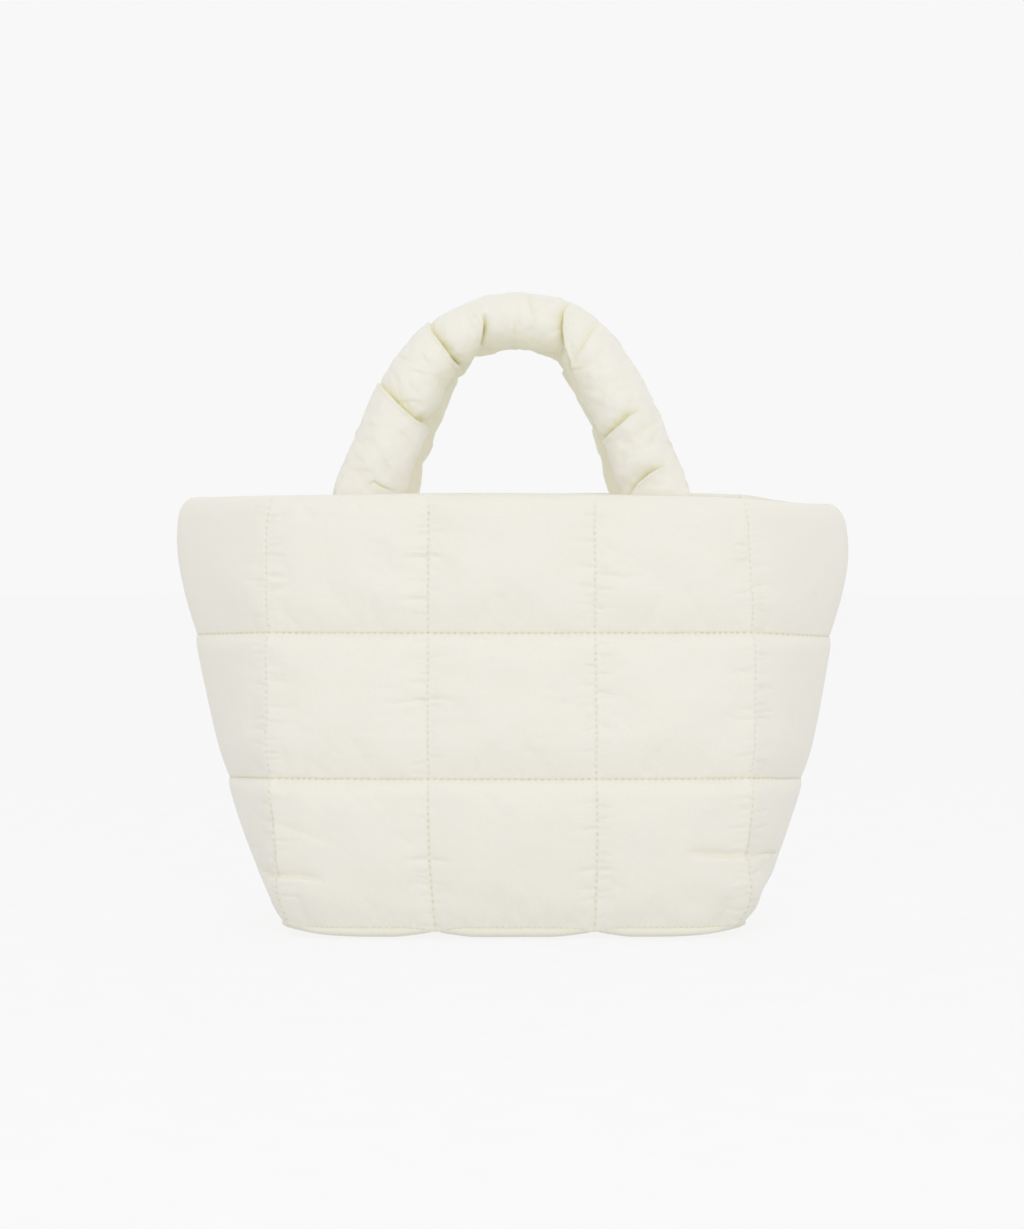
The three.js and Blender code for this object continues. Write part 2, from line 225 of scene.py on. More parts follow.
# Folds of the front handle: points, depth, soft, sharp, lip, tuck, start, end
HANDLE_FOLDS = (
    Fold(
        ((-68, 274), (-62.1, 267), (-54.3, 258.9), (-47.2, 252.8), (-39.5, 248.5)),
        5.4, 7, 0.5, 0.7, 0.8, 0.0, 0.9,
    ),
    Fold(
        ((-41.5, 304), (-39.7, 296.6), (-33.7, 288.8), (-28.7, 281.7), (-22.5, 276)),
        5.6, 7, 0.5, 0.6, 0.8, 0.1, 1.0,
    ),
    Fold(((-14.4, 305), (-13.7, 299.4), (-14.1, 294.4), (-15.5, 289)), 6.5, 3.0, 0.6, 0.3, 0.2, 0.0, 1.0),
    Fold(
        ((29.0, 279), (25.7, 290.1), (24.9, 297.3), (25.4, 305.8), (28.5, 312)),
        5.4, 6, 0.5, 0.6, 0.7, 0.9, 0.0,
    ),
    Fold(((30.0, 282), (35.4, 290.1), (39.6, 296.5), (44.5, 303)), 2.0, 5.0, 1.4, 0.4, 0.3, 0.6, 0.0),
    Fold(((28.0, 277.5), (33.5, 278.0), (37.0, 279.5)), 2.0, 2.0, 0.9, 0.2, 0.2, 0.8, 0.0),
    Fold(
        ((44.0, 242), (48.2, 246.7), (52.4, 250.2), (57.4, 255.2), (64, 258.5)),
        4.4, 7, 0.6, 0.5, 0.6, 1.0, 0.0,
    ),
    Fold(((61.0, 243), (66, 248.8), (73, 252.5)), 1.3, 3.0, 1.2, 0.2, 0.2, 0.0, 0.2),
    Fold(
        ((56.5, 213), (61.7, 221.8), (66.7, 226.1), (70.2, 228.2), (76.5, 231.5)),
        4.4, 6, 0.6, 0.6, 0.6, 1.0, 0.0,
    ),
    Fold(((-59.5, 218.5), (-64.2, 220.5), (-67.8, 222.9), (-71, 221.5)), 2.0, 2.5, 1.0, 0.2, 0.3, 0.3, 0.0),
    Fold(((7.5, 316), (9.5, 308), (12.5, 299)), 1.2, 2.5, 1.0, 0.1, 0.2, 0.5, 0.0),
    Fold(((1.0, 304.5), (1.0, 295), (0.5, 289)), 1.2, 2.5, 1.0, 0.1, 0.2, 0.0, 0.8),
)
# Share of a fold's depth on the side towards the other handle, and where it grows to the full depth, on a
# scale from -1 on that side to 1 on the opposite one
FOLD_BEHIND = 0.4
FOLD_FACING = (-0.6, 0.3)

# The back handle mirrors the front one, drawn in a little, more so at its feet, and leaning to the right.
# Its folds are the front one's from right to left, weaker at their ends, and it has its own pinches.
BACK_HANDLE_WIDTH_SHARE = 0.97
BACK_HANDLE_SHIFT = 1.0
BACK_HANDLE_RISE = 0.6
BACK_HANDLE_FOOT_SHARE = 0.05
BACK_HANDLE_FOOT_TOP = 275.0
BACK_FOLD_END = 0.25
BACK_FOLD_DEPTH = 0.7
BACK_HANDLE_PINCHES = (
    (2.0, 0.04, 1.0, 0.0),
    (3.1, 0.12, 0.1, 2.0),
    (5.4, 0.20, 0.1, 0.0),
    (6.4, 0.32, 0.0, 0.0),
    (9.4, 0.10, 0.1, 0.0),
    (13.0, 0.05, 0.3, 3.0),
)

# Base
# Its rounded edge: distance along the cloth from the seam, how far that is outside the seam, and below it
BASE_EDGE = np.array([
    (0.0, -0.45, -0.1),
    (0.2, -0.25, 0.1),
    (0.6, 0.05, 0.8),
    (1.1, 0.2, 1.5),
    (1.8, 0.2, 2.3),
    (2.8, -0.1, 3.1),
    (4.2, -1.0, 3.9),
    (6.5, -3.2, 4.6),
    (10.0, -8.0, 5.2),
    (18.0, -18.0, 5.7),
])
# How far its top lies over the seam and inside the wall's edge, how high its squares swell there, and where
# that starts and is full
BASE_LIP = 0.6
BASE_PILLOW_ABOVE = 2.0
BASE_TOP_START = 20.0
BASE_TOP_RISE = 26.0
# Below, how far from the sides a square is full, with the power of the rise, and how far from the seams of
# the columns, with the share of the drop that these seams take
BASE_SQUARE_RISE = 40.0
BASE_SIDE_CURVE = 0.62
BASE_SEAM_RISE = 22.0
BASE_SEAM_PULL = 1.0
# How far from a corner its edge is full, and the lip is felt, and the gap that is left to the floor
BASE_CORNER = 16.0
FLOOR_GAP = 0.1
# Painted shade over all of the base and in its seams, with half the width of the columns' seams and of the
# edge's
BASE_PAINTED_SHADE = 0.1
BASE_SEAM_PAINTED_SHADE = 0.3
BASE_SEAM_HALF = 1.0
BASE_EDGE_HALF = 0.6
# Rows of its grid from front to back, and steps to a stitch across
BASE_ROWS = 81
BASE_STEPS = 2

# Camera, in metres, at the photograph's viewing angle
CAMERA_PLACE = (0.0, -1.5, 0.2088)
CAMERA_TARGET = (0.0, 0.0, 0.1559)
CAMERA_LENS = 87.06
CAMERA_SENSOR = 36.0


class Panel(NamedTuple):
    """A sewn panel of the wall: its stretch of the turn, the half length that it is measured along, its
    upright seams as shares of that, how finely it is drawn, and whether it is folded, as a gusset is."""
    name: str
    node: str
    first_turn: int
    half_length: float
    seams: tuple
    steps_across: int
    steps_up: int
    seed: int
    folded: bool

    def seam_places(self):
        return np.array(self.seams) * self.half_length


class Handle(NamedTuple):
    """A handle: how far apart its rings of points are, how many points a ring has, and whether it is the
    one behind."""
    name: str
    node: str
    ring_spacing: float
    sides: int
    seed: int
    behind: bool


COLUMNS = (-1.0, -MIDDLE_COLUMN_SHARE, MIDDLE_COLUMN_SHARE, 1.0)
CORNERS = (-1.0, 1.0)
FRONT = Panel("front_cover", "front_panel", 0, 118.5, COLUMNS, 3, 4, 11, False)
RIGHT = Panel("right_gusset_cover", "right_gusset", 1, 58.5, CORNERS, 3, 4, 12, True)
BACK = Panel("back_cover", "back_panel", 2, 118.5, COLUMNS, 3, 3, 13, False)
LEFT = Panel("left_gusset_cover", "left_gusset", 3, 58.5, CORNERS, 3, 4, 14, True)
FRONT_HANDLE = Handle("front_handle_cover", "front_handle", 1.0, 150, 21, False)
BACK_HANDLE = Handle("back_handle_cover", "back_handle", 1.4, 96, 22, True)


# Shared mathematics

# Irregular waves: how many are laid over each other, and the range of their lengths, as shares
WAVES = 14
WAVE_SPREAD = (0.7, 1.6)
# Further places of a grid beside a stop, as shares of a step
CLOSE_STEPS = (0.2, 0.5)


def smooth_between(places, values, at):
    """Values on a smooth curve through a table, at any places. Further axes of the values are kept."""
    places = np.asarray(places, float)
    values = np.asarray(values, float)
    at = np.clip(at, places[0], places[-1])
    slopes = np.gradient(values, places, axis=0)
    first = np.clip(np.searchsorted(places, at, side="right") - 1, 0, len(places) - 2)
    wide = at.shape + (1,) * (values.ndim - 1)
    span = (places[first + 1] - places[first]).reshape(wide)
    share = (at - places[first]).reshape(wide) / span
    rest = 1 - share
    ends = (1 + 2 * share) * rest**2 * values[first] + (3 - 2 * share) * share**2 * values[first + 1]
    turns = share * rest**2 * slopes[first] - share**2 * rest * slopes[first + 1]
    return ends + span * turns


def table_at(table, at):
    """The further columns of a table, at places in its first column."""
    return smooth_between(table[:, 0], table[:, 1:], at)


def smoothstep(at, low, high):
    share = np.clip((at - low) / (high - low), 0, 1)
    return share**2 * (3 - 2 * share)


def swell(distance, rise):
    """How far padding has risen at a distance from its seam: a quarter ellipse."""
    return np.sqrt(1 - (1 - np.clip(distance / rise, 0, 1)) ** 2)


def hump(distance, half):
    return np.exp(-((distance / half) ** 2))


def nearest(at, places):
    return np.abs(np.asarray(at)[..., None] - np.asarray(places)).min(-1)


def undulation(u, v, seed, wavelength):
    """Smooth irregular waves about 1 high, for cloth that is never quite flat."""
    draw = np.random.default_rng(seed)
    total = np.zeros(np.broadcast(u, v).shape)
    for _ in range(WAVES):
        heading = draw.uniform(0, 2 * np.pi)
        pace = 2 * np.pi / (wavelength * draw.uniform(*WAVE_SPREAD))
        total += np.sin((u * np.cos(heading) + v * np.sin(heading)) * pace + draw.uniform(0, 2 * np.pi))
    return total / math.sqrt(WAVES / 2)


def stitch_places(low, high):
    return np.linspace(low, high, round((high - low) / STITCH) + 1)


def needle_places(stops):
    """Needle holes along a seam that is sewn from stop to stop."""
    return np.unique(np.concatenate([stitch_places(*pair) for pair in zip(stops[:-1], stops[1:])]))


def grid_places(stops, steps_per_stitch):
    """Places from the first stop to the last, several to a stitch and closer together beside the stops."""
    parts = []
    for low, high in zip(stops[:-1], stops[1:]):
        holes = stitch_places(low, high)
        steps = (len(holes) - 1) * steps_per_stitch
        close = (high - low) / steps * np.array(CLOSE_STEPS)
        parts += [np.linspace(low, high, steps + 1), low + close, high - close]
    return np.unique(np.concatenate(parts).round(5))


def fold_effect(fold, x, z):
    """What a fold does to cloth at points seen from the front: how far it pulls the cloth in, how far it
    slides it along X and Z, and how much painted shade its crease takes there, from 0 to 1."""
    points = np.array(fold.points, float)
    steps = np.diff(points, axis=0)
    lengths = np.hypot(*steps.T)
    travelled = np.concatenate([[0], np.cumsum(lengths)])
    best = np.full(x.shape, np.inf)
    side = np.zeros(x.shape)
    share = np.zeros(x.shape)
    leftward = np.zeros((*x.shape, 2))
    for start, step, length, before in zip(points, steps, lengths, travelled):
        ahead = step / length
        along = np.clip((x - start[0]) * ahead[0] + (z - start[1]) * ahead[1], 0, length)
        off_x = x - start[0] - ahead[0] * along
        off_z = z - start[1] - ahead[1] * along
        distance = np.hypot(off_x, off_z)
        closer = distance < best
        best = np.where(closer, distance, best)
        side = np.where(closer, ahead[0] * off_z - ahead[1] * off_x, side)
        share = np.where(closer, (before + along) / travelled[-1], share)
        leftward[closer] = (-ahead[1], ahead[0])
    ends = np.where(share < 0.5, fold.start, fold.end)
    strength = ends + (1 - ends) * np.sin(np.pi * share) ** FOLD_FADE
    under = smoothstep(side, -fold.sharp, fold.sharp)
    lip = fold.lip * (1 - under) * hump(best - LIP_PLACE * fold.sharp, LIP_HALF * fold.sharp)
    narrow = np.exp(-best / (fold.soft * CREASE_WIDTH))
    hollow = CREASE_SHARE * narrow + (1 - CREASE_SHARE) * np.exp(-best / fold.soft)
    pull = strength * (fold.depth * under * hollow - lip)
    slide = strength * fold.tuck * (1 - 2 * under) * np.exp(-best / TUCK_REACH)
    # Painted shade in the crease, reaching further on its soft side
    crease = strength * np.exp(-best / np.where(side > 0, PAINTED_SHADE_SOFT, PAINTED_SHADE_SHARP))
    return pull, leftward * slide[..., None], crease * min(1, fold.depth / DEEP_FOLD)


# The wall

def fold_profile(across):
    """The rounded fold of a gusset, from 0 at its seams to 1 at the fold."""
    foot = math.hypot(1, FOLD_ROUNDING)
    return (foot - np.hypot(across, FOLD_ROUNDING)) / (foot - FOLD_ROUNDING)


def wall_levels(z):
    """Half width, corner depth, bulge and the two folds at levels. The folds draw back at the rim's ends."""
    level = np.moveaxis(table_at(WALL_LEVELS, z), -1, 0)
    level[3:] -= RIM_END_ROUNDING * (1 - swell(RIM_HEIGHT - z, RIM_END_HEIGHT))
    return level


def wall_plan(turn, z):
    """The sewn sheet in plan. Turn 0 to 1 is the front; right gusset, back and left gusset follow."""
    half_width, corner_depth, bulge, fold_left, fold_right = wall_levels(z)
    half_turn = turn % 2
    facing = np.where(turn % 4 < 2, 1, -1)
    across = 2 * (half_turn % 1) - 1
    flare = np.where(facing > 0, fold_right, fold_left) - half_width
    on_face = half_turn < 1
    x = np.where(on_face, across * half_width, half_width + flare * fold_profile(across))
    y = np.where(on_face, -corner_depth - bulge * (1 - across**2), across * corner_depth)
    return np.stack([facing * x, facing * y], -1)


def turn_after(turn, z, step):
    """The turn that lies a step in millimetres further along the wall."""
    half_width, corner_depth, _, _, fold_right = wall_levels(z)
    face = 2 * half_width
    gusset = 2 * np.hypot(corner_depth, fold_right - half_width)
    half_turn = turn % 2
    ahead = np.where(half_turn < 1, half_turn * face, face + (half_turn - 1) * gusset) + step
    rounds, rest = np.divmod(ahead, face + gusset)
    return turn - half_turn + 2 * rounds + np.where(rest < face, rest / face, 1 + (rest - face) / gusset)


def wall_outward(turn, z):
    """The way out of the wall in plan, averaged over a short stretch so that panels meet in a mitre."""
    before = wall_plan(turn_after(turn, z, -MITRE_STRETCH), z)
    along = wall_plan(turn_after(turn, z, MITRE_STRETCH), z) - before
    out = np.stack([along[..., 1], -along[..., 0]], -1)
    return out / np.linalg.norm(out, axis=-1, keepdims=True)


def level_hold(z):
    """The share of the padding's height that the level seams take. A pillow swells soon below the seam over
    it, and later above the seam under it."""
    hold = np.zeros(z.shape)
    for seam, pull in zip(LEVEL_SEAMS, LEVEL_PULLS):
        head = (1 - np.clip((seam - z) / HEAD_RISE, 0, 1)) ** HEAD_CURVE
        foot = (1 - np.clip((z - seam) / FOOT_RISE, 0, 1)) ** FOOT_CURVE
        hold = np.maximum(hold, pull * np.where(z < seam, head, foot))
    return hold


class Sheet(NamedTuple):
    """A sewn sheet: its points in plan, the way out, its height, and the padding's two faces."""
    plan: np.ndarray
    out: np.ndarray
    height: np.ndarray
    outer: np.ndarray
    inner: np.ndarray
    roll: np.ndarray
    padding: np.ndarray

    def points(self, offset):
        return np.concatenate([self.plan + self.out * offset[..., None], self.height[..., None]], -1)


def sewn_sheet(panel, along, z):
    """The padded sheet of a panel at distances along it from its middle and at levels, without details."""
    across = along / panel.half_length
    turn = panel.first_turn + (1 + across) / 2
    plan = wall_plan(turn, z)
    out = wall_outward(turn, z)
    level_rise = 1 - level_hold(z)
    upright_rise = 1 - np.max([
        (CORNER_PULL if seam in CORNERS else UPRIGHT_PULL)
        * (1 - np.clip(np.abs(across - seam) * panel.half_length / UPRIGHT_RISE, 0, 1)) ** 2
        for seam in panel.seams
    ], axis=0)
    drop = table_at(RIM_SAG, turn)[..., 0] * smoothstep(z, UPPER_SEAM, RIM_HEIGHT)
    if panel.folded:
        half_width, _, _, _, fold_right = wall_levels(z)
        squeezed = smoothstep(fold_right - half_width, -FULL_FLARE / 2, FULL_FLARE)
        upright_rise = upright_rise * (1 - squeezed * fold_profile(across))
        drop = drop + table_at(FOLD_DROOP, z)[..., 1 if panel is RIGHT else 0] * fold_profile(across)
    else:
        inner_away = nearest(across, panel.seams[1:-1]) * panel.half_length
        low = 1 - smoothstep(z, BASE_SEAM, BASE_DIP_HEIGHT)
        drop = drop + BASE_DIP * hump(inner_away, BASE_DIP_REACH) * low
    padding = upright_rise * level_rise
    stray = seam_stray(plan[..., 0], z) * smoothstep(-plan[..., 1], 0, STRAY_FRONT)
    plan = plan + np.stack([stray, np.zeros_like(stray)], -1) - corner_tuck(plan, z)
    roll = swell(RIM_HEIGHT - z, RIM_ROLL)
    lift = ROW_SWELL * level_rise - RIM_MIDDLE
    outer = RIM_MIDDLE + (lift + SEAM_HALF + PILLOW_OUTSIDE * padding) * roll
    inner = RIM_MIDDLE + (lift - SEAM_HALF - PILLOW_INSIDE * padding) * roll
    return Sheet(plan, out, z - drop, outer, inner, roll, padding)


def corner_tuck(plan, z):
    """How far the bottom corners of the wall are drawn in, along X and Y."""
    half_width, corner_depth, _, _, _ = wall_levels(z)
    away = np.hypot(np.abs(plan[..., 0]) - half_width, np.abs(plan[..., 1]) - corner_depth)
    tuck = CORNER_TUCK * hump(away, CORNER_REACH) * (1 - smoothstep(z, BASE_SEAM, CORNER_HEIGHT))
    return np.sign(plan) * tuck[..., None] / math.sqrt(2)


def seam_stray(x, z):
    """How far the cloth strays along X beside the upright seams of the front."""
    half_width, _, _, _, fold_right = wall_levels(z)
    beyond = np.maximum(STRAY_BEYOND, STRAY_FLARE_SHARE * (fold_right - half_width))
    table = table_at(SEAM_STRAY, z)
    strays = [
        table[..., column] * hump(x - share * half_width, STRAY_REACH) for column, share in enumerate(COLUMNS)
    ]
    return sum(strays) * (1 - smoothstep(np.abs(x) - half_width, 0, beyond))


# Puckers: small creases that run out from a seam

class Pucker(NamedTuple):
    """A crease at a place along a seam: how far out it reaches, half its width, its depth, and its slant."""
    place: float
    reach: float
    half: float
    depth: float
    slant: float


class PuckerKind(NamedTuple):
    """Random puckers: the usual gap between them, the longest reach, and the largest depth."""
    gap: float
    longest: float
    deepest: float


UPRIGHT_PUCKERS = PuckerKind(3.4, 13, 1.1)
LEVEL_PUCKERS = PuckerKind(4.4, 9, 0.5)
# Their first and further gaps as shares of the usual one, and sizes, with a power that makes large ones rare
PUCKER_FIRST_GAP = (0.3, 1)
PUCKER_GAPS = (0.5, 1.5)
PUCKER_SIZES = (0.1, 1)
PUCKER_RARITY = 1.8
# The share of the longest reach that the smallest has, half widths, largest slant, and the gap below the rim
PUCKER_LEAST_REACH = 0.3
PUCKER_HALVES = (0.5, 1.0)
PUCKER_SLANT = 0.2
PUCKER_RIM_GAP = 6.0
# How far from the seam a pucker starts, and in how many half widths it dies out
PUCKER_START = 1.6
PUCKER_SPAN = 3

# Strong puckers of the front: upright seam, z, side, reach, depth
STRONG_PUCKERS = (
    (0, 177.0, 1, 16, 1.4), (0, 169.5, 1, 12, 1.0), (0, 133.0, 1, 9, 1.0), (0, 112.4, 1, 18, 1.4),
    (1, 186.3, 1, 12, 1.0), (1, 186.3, -1, 16, 1.2), (1, 165.8, -1, 18, 1.2), (1, 169.5, 1, 12, 0.8),
    (1, 116.5, -1, 24, 1.6), (1, 117.0, 1, 18, 1.2), (1, 40.0, -1, 16, 1.4), (1, 39.5, 1, 15, 1.4),
    (2, 181.0, -1, 12, 1.0), (2, 177.5, 1, 22, 1.4), (2, 172.0, -1, 10, 0.8), (2, 34.8, -1, 14, 1.2),
    (2, 34.8, 1, 14, 1.2), (2, 120.0, 1, 12, 0.8), (3, 106.0, -1, 14, 1.0), (3, 183.0, -1, 10, 0.8),
)
STRONG_HALF = 1.2
STRONG_SLANT = 0.12


def random_puckers(draw, low, high, kind):
    puckers = []
    place = low + kind.gap * draw.uniform(*PUCKER_FIRST_GAP)
    while place < high:
        size = draw.uniform(*PUCKER_SIZES) ** PUCKER_RARITY
        reach = kind.longest * (PUCKER_LEAST_REACH + (1 - PUCKER_LEAST_REACH) * size)
        half = draw.uniform(*PUCKER_HALVES)
        slant = draw.uniform(-PUCKER_SLANT, PUCKER_SLANT)
        puckers.append(Pucker(place, reach, half, kind.deepest * size, slant))
        place += kind.gap * draw.uniform(*PUCKER_GAPS)
    return puckers


def add_puckers(depth, seamwise, away, puckers):
    """Adds puckers to a grid of depths: rows at places along the seam, columns at distances from it."""
    for pucker in puckers:
        span = PUCKER_SPAN * pucker.half + abs(pucker.slant) * pucker.reach
        rows = slice(*np.searchsorted(seamwise, [pucker.place - span, pucker.place + span]))
        columns = np.flatnonzero((away >= 0) & (away < pucker.reach))
        if not len(columns):
            continue
        out = away[columns]
        off = seamwise[rows, None] - pucker.place - pucker.slant * out
        fade = smoothstep(out, 0, PUCKER_START) * (1 - smoothstep(out, 0, pucker.reach))
        depth[rows, columns[0]:columns[-1] + 1] += pucker.depth * hump(off, pucker.half) * fade


def pucker_depths(panel, along, levels):
    """Depth of all puckers of a panel, on the grid of its levels and distances along."""
    draw = np.random.default_rng(panel.seed)
    depth = np.zeros((len(levels), len(along)))
    for index, seam in enumerate(panel.seam_places()):
        for side in (-1, 1):
            puckers = random_puckers(draw, BASE_SEAM, RIM_HEIGHT - PUCKER_RIM_GAP, UPRIGHT_PUCKERS)
            if panel is FRONT:
                puckers += [
                    Pucker(z, reach, STRONG_HALF, deep, draw.uniform(-STRONG_SLANT, STRONG_SLANT))
                    for column, z, hand, reach, deep in STRONG_PUCKERS
                    if (column, hand) == (index, side)
                ]
            add_puckers(depth, levels, side * (along - seam), puckers)
    for seam in LEVEL_SEAMS:
        for side in (-1, 1):
            puckers = random_puckers(draw, along[0], along[-1], LEVEL_PUCKERS)
            add_puckers(depth.T, along, side * (levels - seam), puckers)
    if panel.folded:
        depth *= 1 - fold_profile(along / panel.half_length)
    upright_fade = smoothstep(nearest(along, panel.seam_places()), 0, PUCKER_START)
    level_fade = smoothstep(nearest(levels, LEVEL_SEAMS), 0, PUCKER_START)
    return depth * upright_fade * level_fade[:, None]


# Meshes

# The inner sheet of a pad keeps each fourth row and each third column of the outer one
INNER_ROW_STEP = 4
INNER_COLUMN_STEP = 3


def grid_quads(grid, inward=False):
    """Faces of a grid of points, turned outwards or inwards."""
    corners = [grid[:-1, :-1], grid[:-1, 1:], grid[1:, 1:], grid[1:, :-1]]
    return np.stack(corners[::-1] if inward else corners, -1).reshape(-1, 4)


def joined_faces(outer_shape, kept_rows, kept_columns):
    """Faces of a closed pad, and how many of them are smooth, which come first. The outer sheet is a full
    grid, the inner one keeps some rows and columns, and the two share the top row."""
    rows, columns = outer_shape
    grid = np.arange(rows * columns).reshape(rows, columns)
    inner_rows = len(kept_rows) - 1
    inner = rows * columns + np.arange(inner_rows * len(kept_columns)).reshape(inner_rows, -1)
    faces = grid_quads(grid).tolist() + grid_quads(inner, inward=True).tolist()
    for k, (first, last) in enumerate(zip(kept_columns[:-1], kept_columns[1:])):
        faces.append([*grid[-1, first:last + 1].tolist(), int(inner[-1, k + 1]), int(inner[-1, k])])
    smooth_faces = len(faces)
    for k, (first, last) in enumerate(zip(kept_columns[:-1], kept_columns[1:])):
        faces.append([*grid[0, first:last + 1][::-1].tolist(), int(inner[0, k]), int(inner[0, k + 1])])
    for k, (first, last) in enumerate(zip(kept_rows[:-1], kept_rows[1:])):
        right_edge = grid[first:last + 1, -1].tolist()
        left_edge = grid[first:last + 1, 0].tolist()
        upper = [k + 1] if k + 1 < inner_rows else []
        faces.append([*right_edge[::-1], int(inner[k, -1]), *(int(inner[u, -1]) for u in upper)])
        faces.append([*left_edge, *(int(inner[u, 0]) for u in upper), int(inner[k, 0])])
    return faces, smooth_faces


def kept_places(count, every):
    return np.unique([*range(0, count, every), count - 1])


def make_piece(name, points, faces, material, cloth=None, crease=None, smooth_faces=None):
    """A mesh object from points in millimetres, smooth on its first faces or all. It carries where each point
    lies on its cloth, and how much painted shade it takes in seams, creases and shaded places."""
    mesh = bpy.data.meshes.new(name)
    mesh.from_pydata((np.asarray(points) * MM).tolist(), [], faces)
    smooth = np.arange(len(faces)) < (len(faces) if smooth_faces is None else smooth_faces)
    mesh.polygons.foreach_set("use_smooth", smooth)
    if cloth is not None:
        place = mesh.attributes.new("cloth_mm", "FLOAT_VECTOR", "POINT")
        place.data.foreach_set("vector", np.asarray(cloth, np.float32).ravel())
        # The crease attribute holds painted shade for seams, creases and shaded places
        depth = mesh.attributes.new("crease", "FLOAT", "POINT")
        depth.data.foreach_set("value", np.asarray(crease, np.float32).ravel())
    mesh.materials.append(material)
    mesh.update()
    piece = bpy.data.objects.new(name, mesh)
    bpy.context.scene.collection.objects.link(piece)
    return piece


def attach(piece, node=None):
    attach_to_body(piece, BODY)
    if node:
        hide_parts(node)


# Cloth simulation

# Spacing of its grid, frames, and the farthest that a point may move
SIM_SPACING = 3.4
SIM_FRAMES = 16
SIM_LARGEST_MOVE = 1.4
SIM_CLOTH = {
    "quality": 6,
    "mass": 0.02,
    "tension_stiffness": 12,
    "compression_stiffness": 12,
    "shear_stiffness": 6,
    "bending_stiffness": 0.6,
    "vertex_group_mass": "sewn",
    "use_pressure": True,
    "uniform_pressure_force": 4.0,
    "shrink_min": -0.004,
}
# A point this close to a seam is on it
ON_SEAM = 0.01


def settle(points, faces, sewn):
    """Lets a padded cloth puff out between its seams. Returns how far each point moved, in millimetres."""
    pad = make_piece("settling_pad", points, faces, None)
    group = pad.vertex_groups.new(name=SIM_CLOTH["vertex_group_mass"])
    group.add(np.flatnonzero(sewn).tolist(), 1.0, "REPLACE")
    cloth = pad.modifiers.new("Settle", "CLOTH")
    for name, value in SIM_CLOTH.items():
        setattr(cloth.settings, name, value)
    cloth.settings.effector_weights.gravity = 0
    cloth.point_cache.frame_end = SIM_FRAMES
    scene = bpy.context.scene
    for number in range(1, SIM_FRAMES + 1):
        scene.frame_set(number)
    settled = pad.evaluated_get(bpy.context.evaluated_depsgraph_get()).data
    found = np.empty(len(points) * 3, np.float32)
    settled.vertices.foreach_get("co", found)
    moved = found.reshape(-1, 3) / MM - points
    scene.frame_set(1)
    mesh = pad.data
    bpy.data.objects.remove(pad)
    bpy.data.meshes.remove(mesh)
    length = np.linalg.norm(moved, axis=1, keepdims=True)
    return moved * np.minimum(1, SIM_LARGEST_MOVE / np.maximum(length, 1e-6))


def spread_out(stops, spacing):
    parts = [np.linspace(low, high, round((high - low) / spacing) + 1) for low, high in zip(stops, stops[1:])]
    return np.unique(np.concatenate(parts).round(5))


def settled_moves(panel, along, levels):
    """How the outer sheet moves when the panel's cloth is simulated, on the fine grid."""
    coarse_along = spread_out(panel.seam_places(), SIM_SPACING)
    coarse_levels = spread_out(LEVEL_STOPS, SIM_SPACING)
    u, z = np.meshgrid(coarse_along, coarse_levels)
    sheet = sewn_sheet(panel, u, z)
    outer = sheet.points(sheet.outer)
    inner = sheet.points(sheet.inner)[:-1]
    faces, _ = joined_faces(u.shape, np.arange(len(coarse_levels)), np.arange(len(coarse_along)))
    points = np.concatenate([outer.reshape(-1, 3), inner.reshape(-1, 3)])
    on_seam = (nearest(u, panel.seam_places()) < ON_SEAM) | (nearest(z, LEVEL_STOPS) < ON_SEAM)
    sewn = np.concatenate([on_seam.ravel(), on_seam[:-1].ravel()])
    moved = settle(points, faces, sewn)[:u.size].reshape(*u.shape, 3)
    if panel.folded:
        moved *= 1 - fold_profile(u / panel.half_length)[..., None]
    tall = smooth_between(coarse_levels, moved, levels)
    return np.moveaxis(smooth_between(coarse_along, np.moveaxis(tall, 1, 0), along), 0, 1)


# Pieces of the wall

# How much painted shade the folds of the wall take, and the grooves and needle holes of a level seam
WALL_FOLD_PAINTED_SHADE = 0.1
GROOVE_PAINTED_SHADE = 0.08
NEEDLE_PAINTED_SHADE = 0.25
# Share of that on upright seams above the lower seam, with the height over which it changes, and the
# multiple of it at the seam of the base
UPRIGHT_PAINTED_SHADE_SHARE = 0.15
UPRIGHT_PAINTED_SHADE_RISE = 15.0
BASE_SEAM_PAINTED_SHADE_SHARE = 2.5
# Gentle unevenness of the padding: size, length, and how far from upright seams and the base it is full
LOOSE_SWELL = 0.3
LOOSE_WAVE = 30.0
LOOSE_SIDE_RISE = 9.0
LOOSE_RISE = 15.0


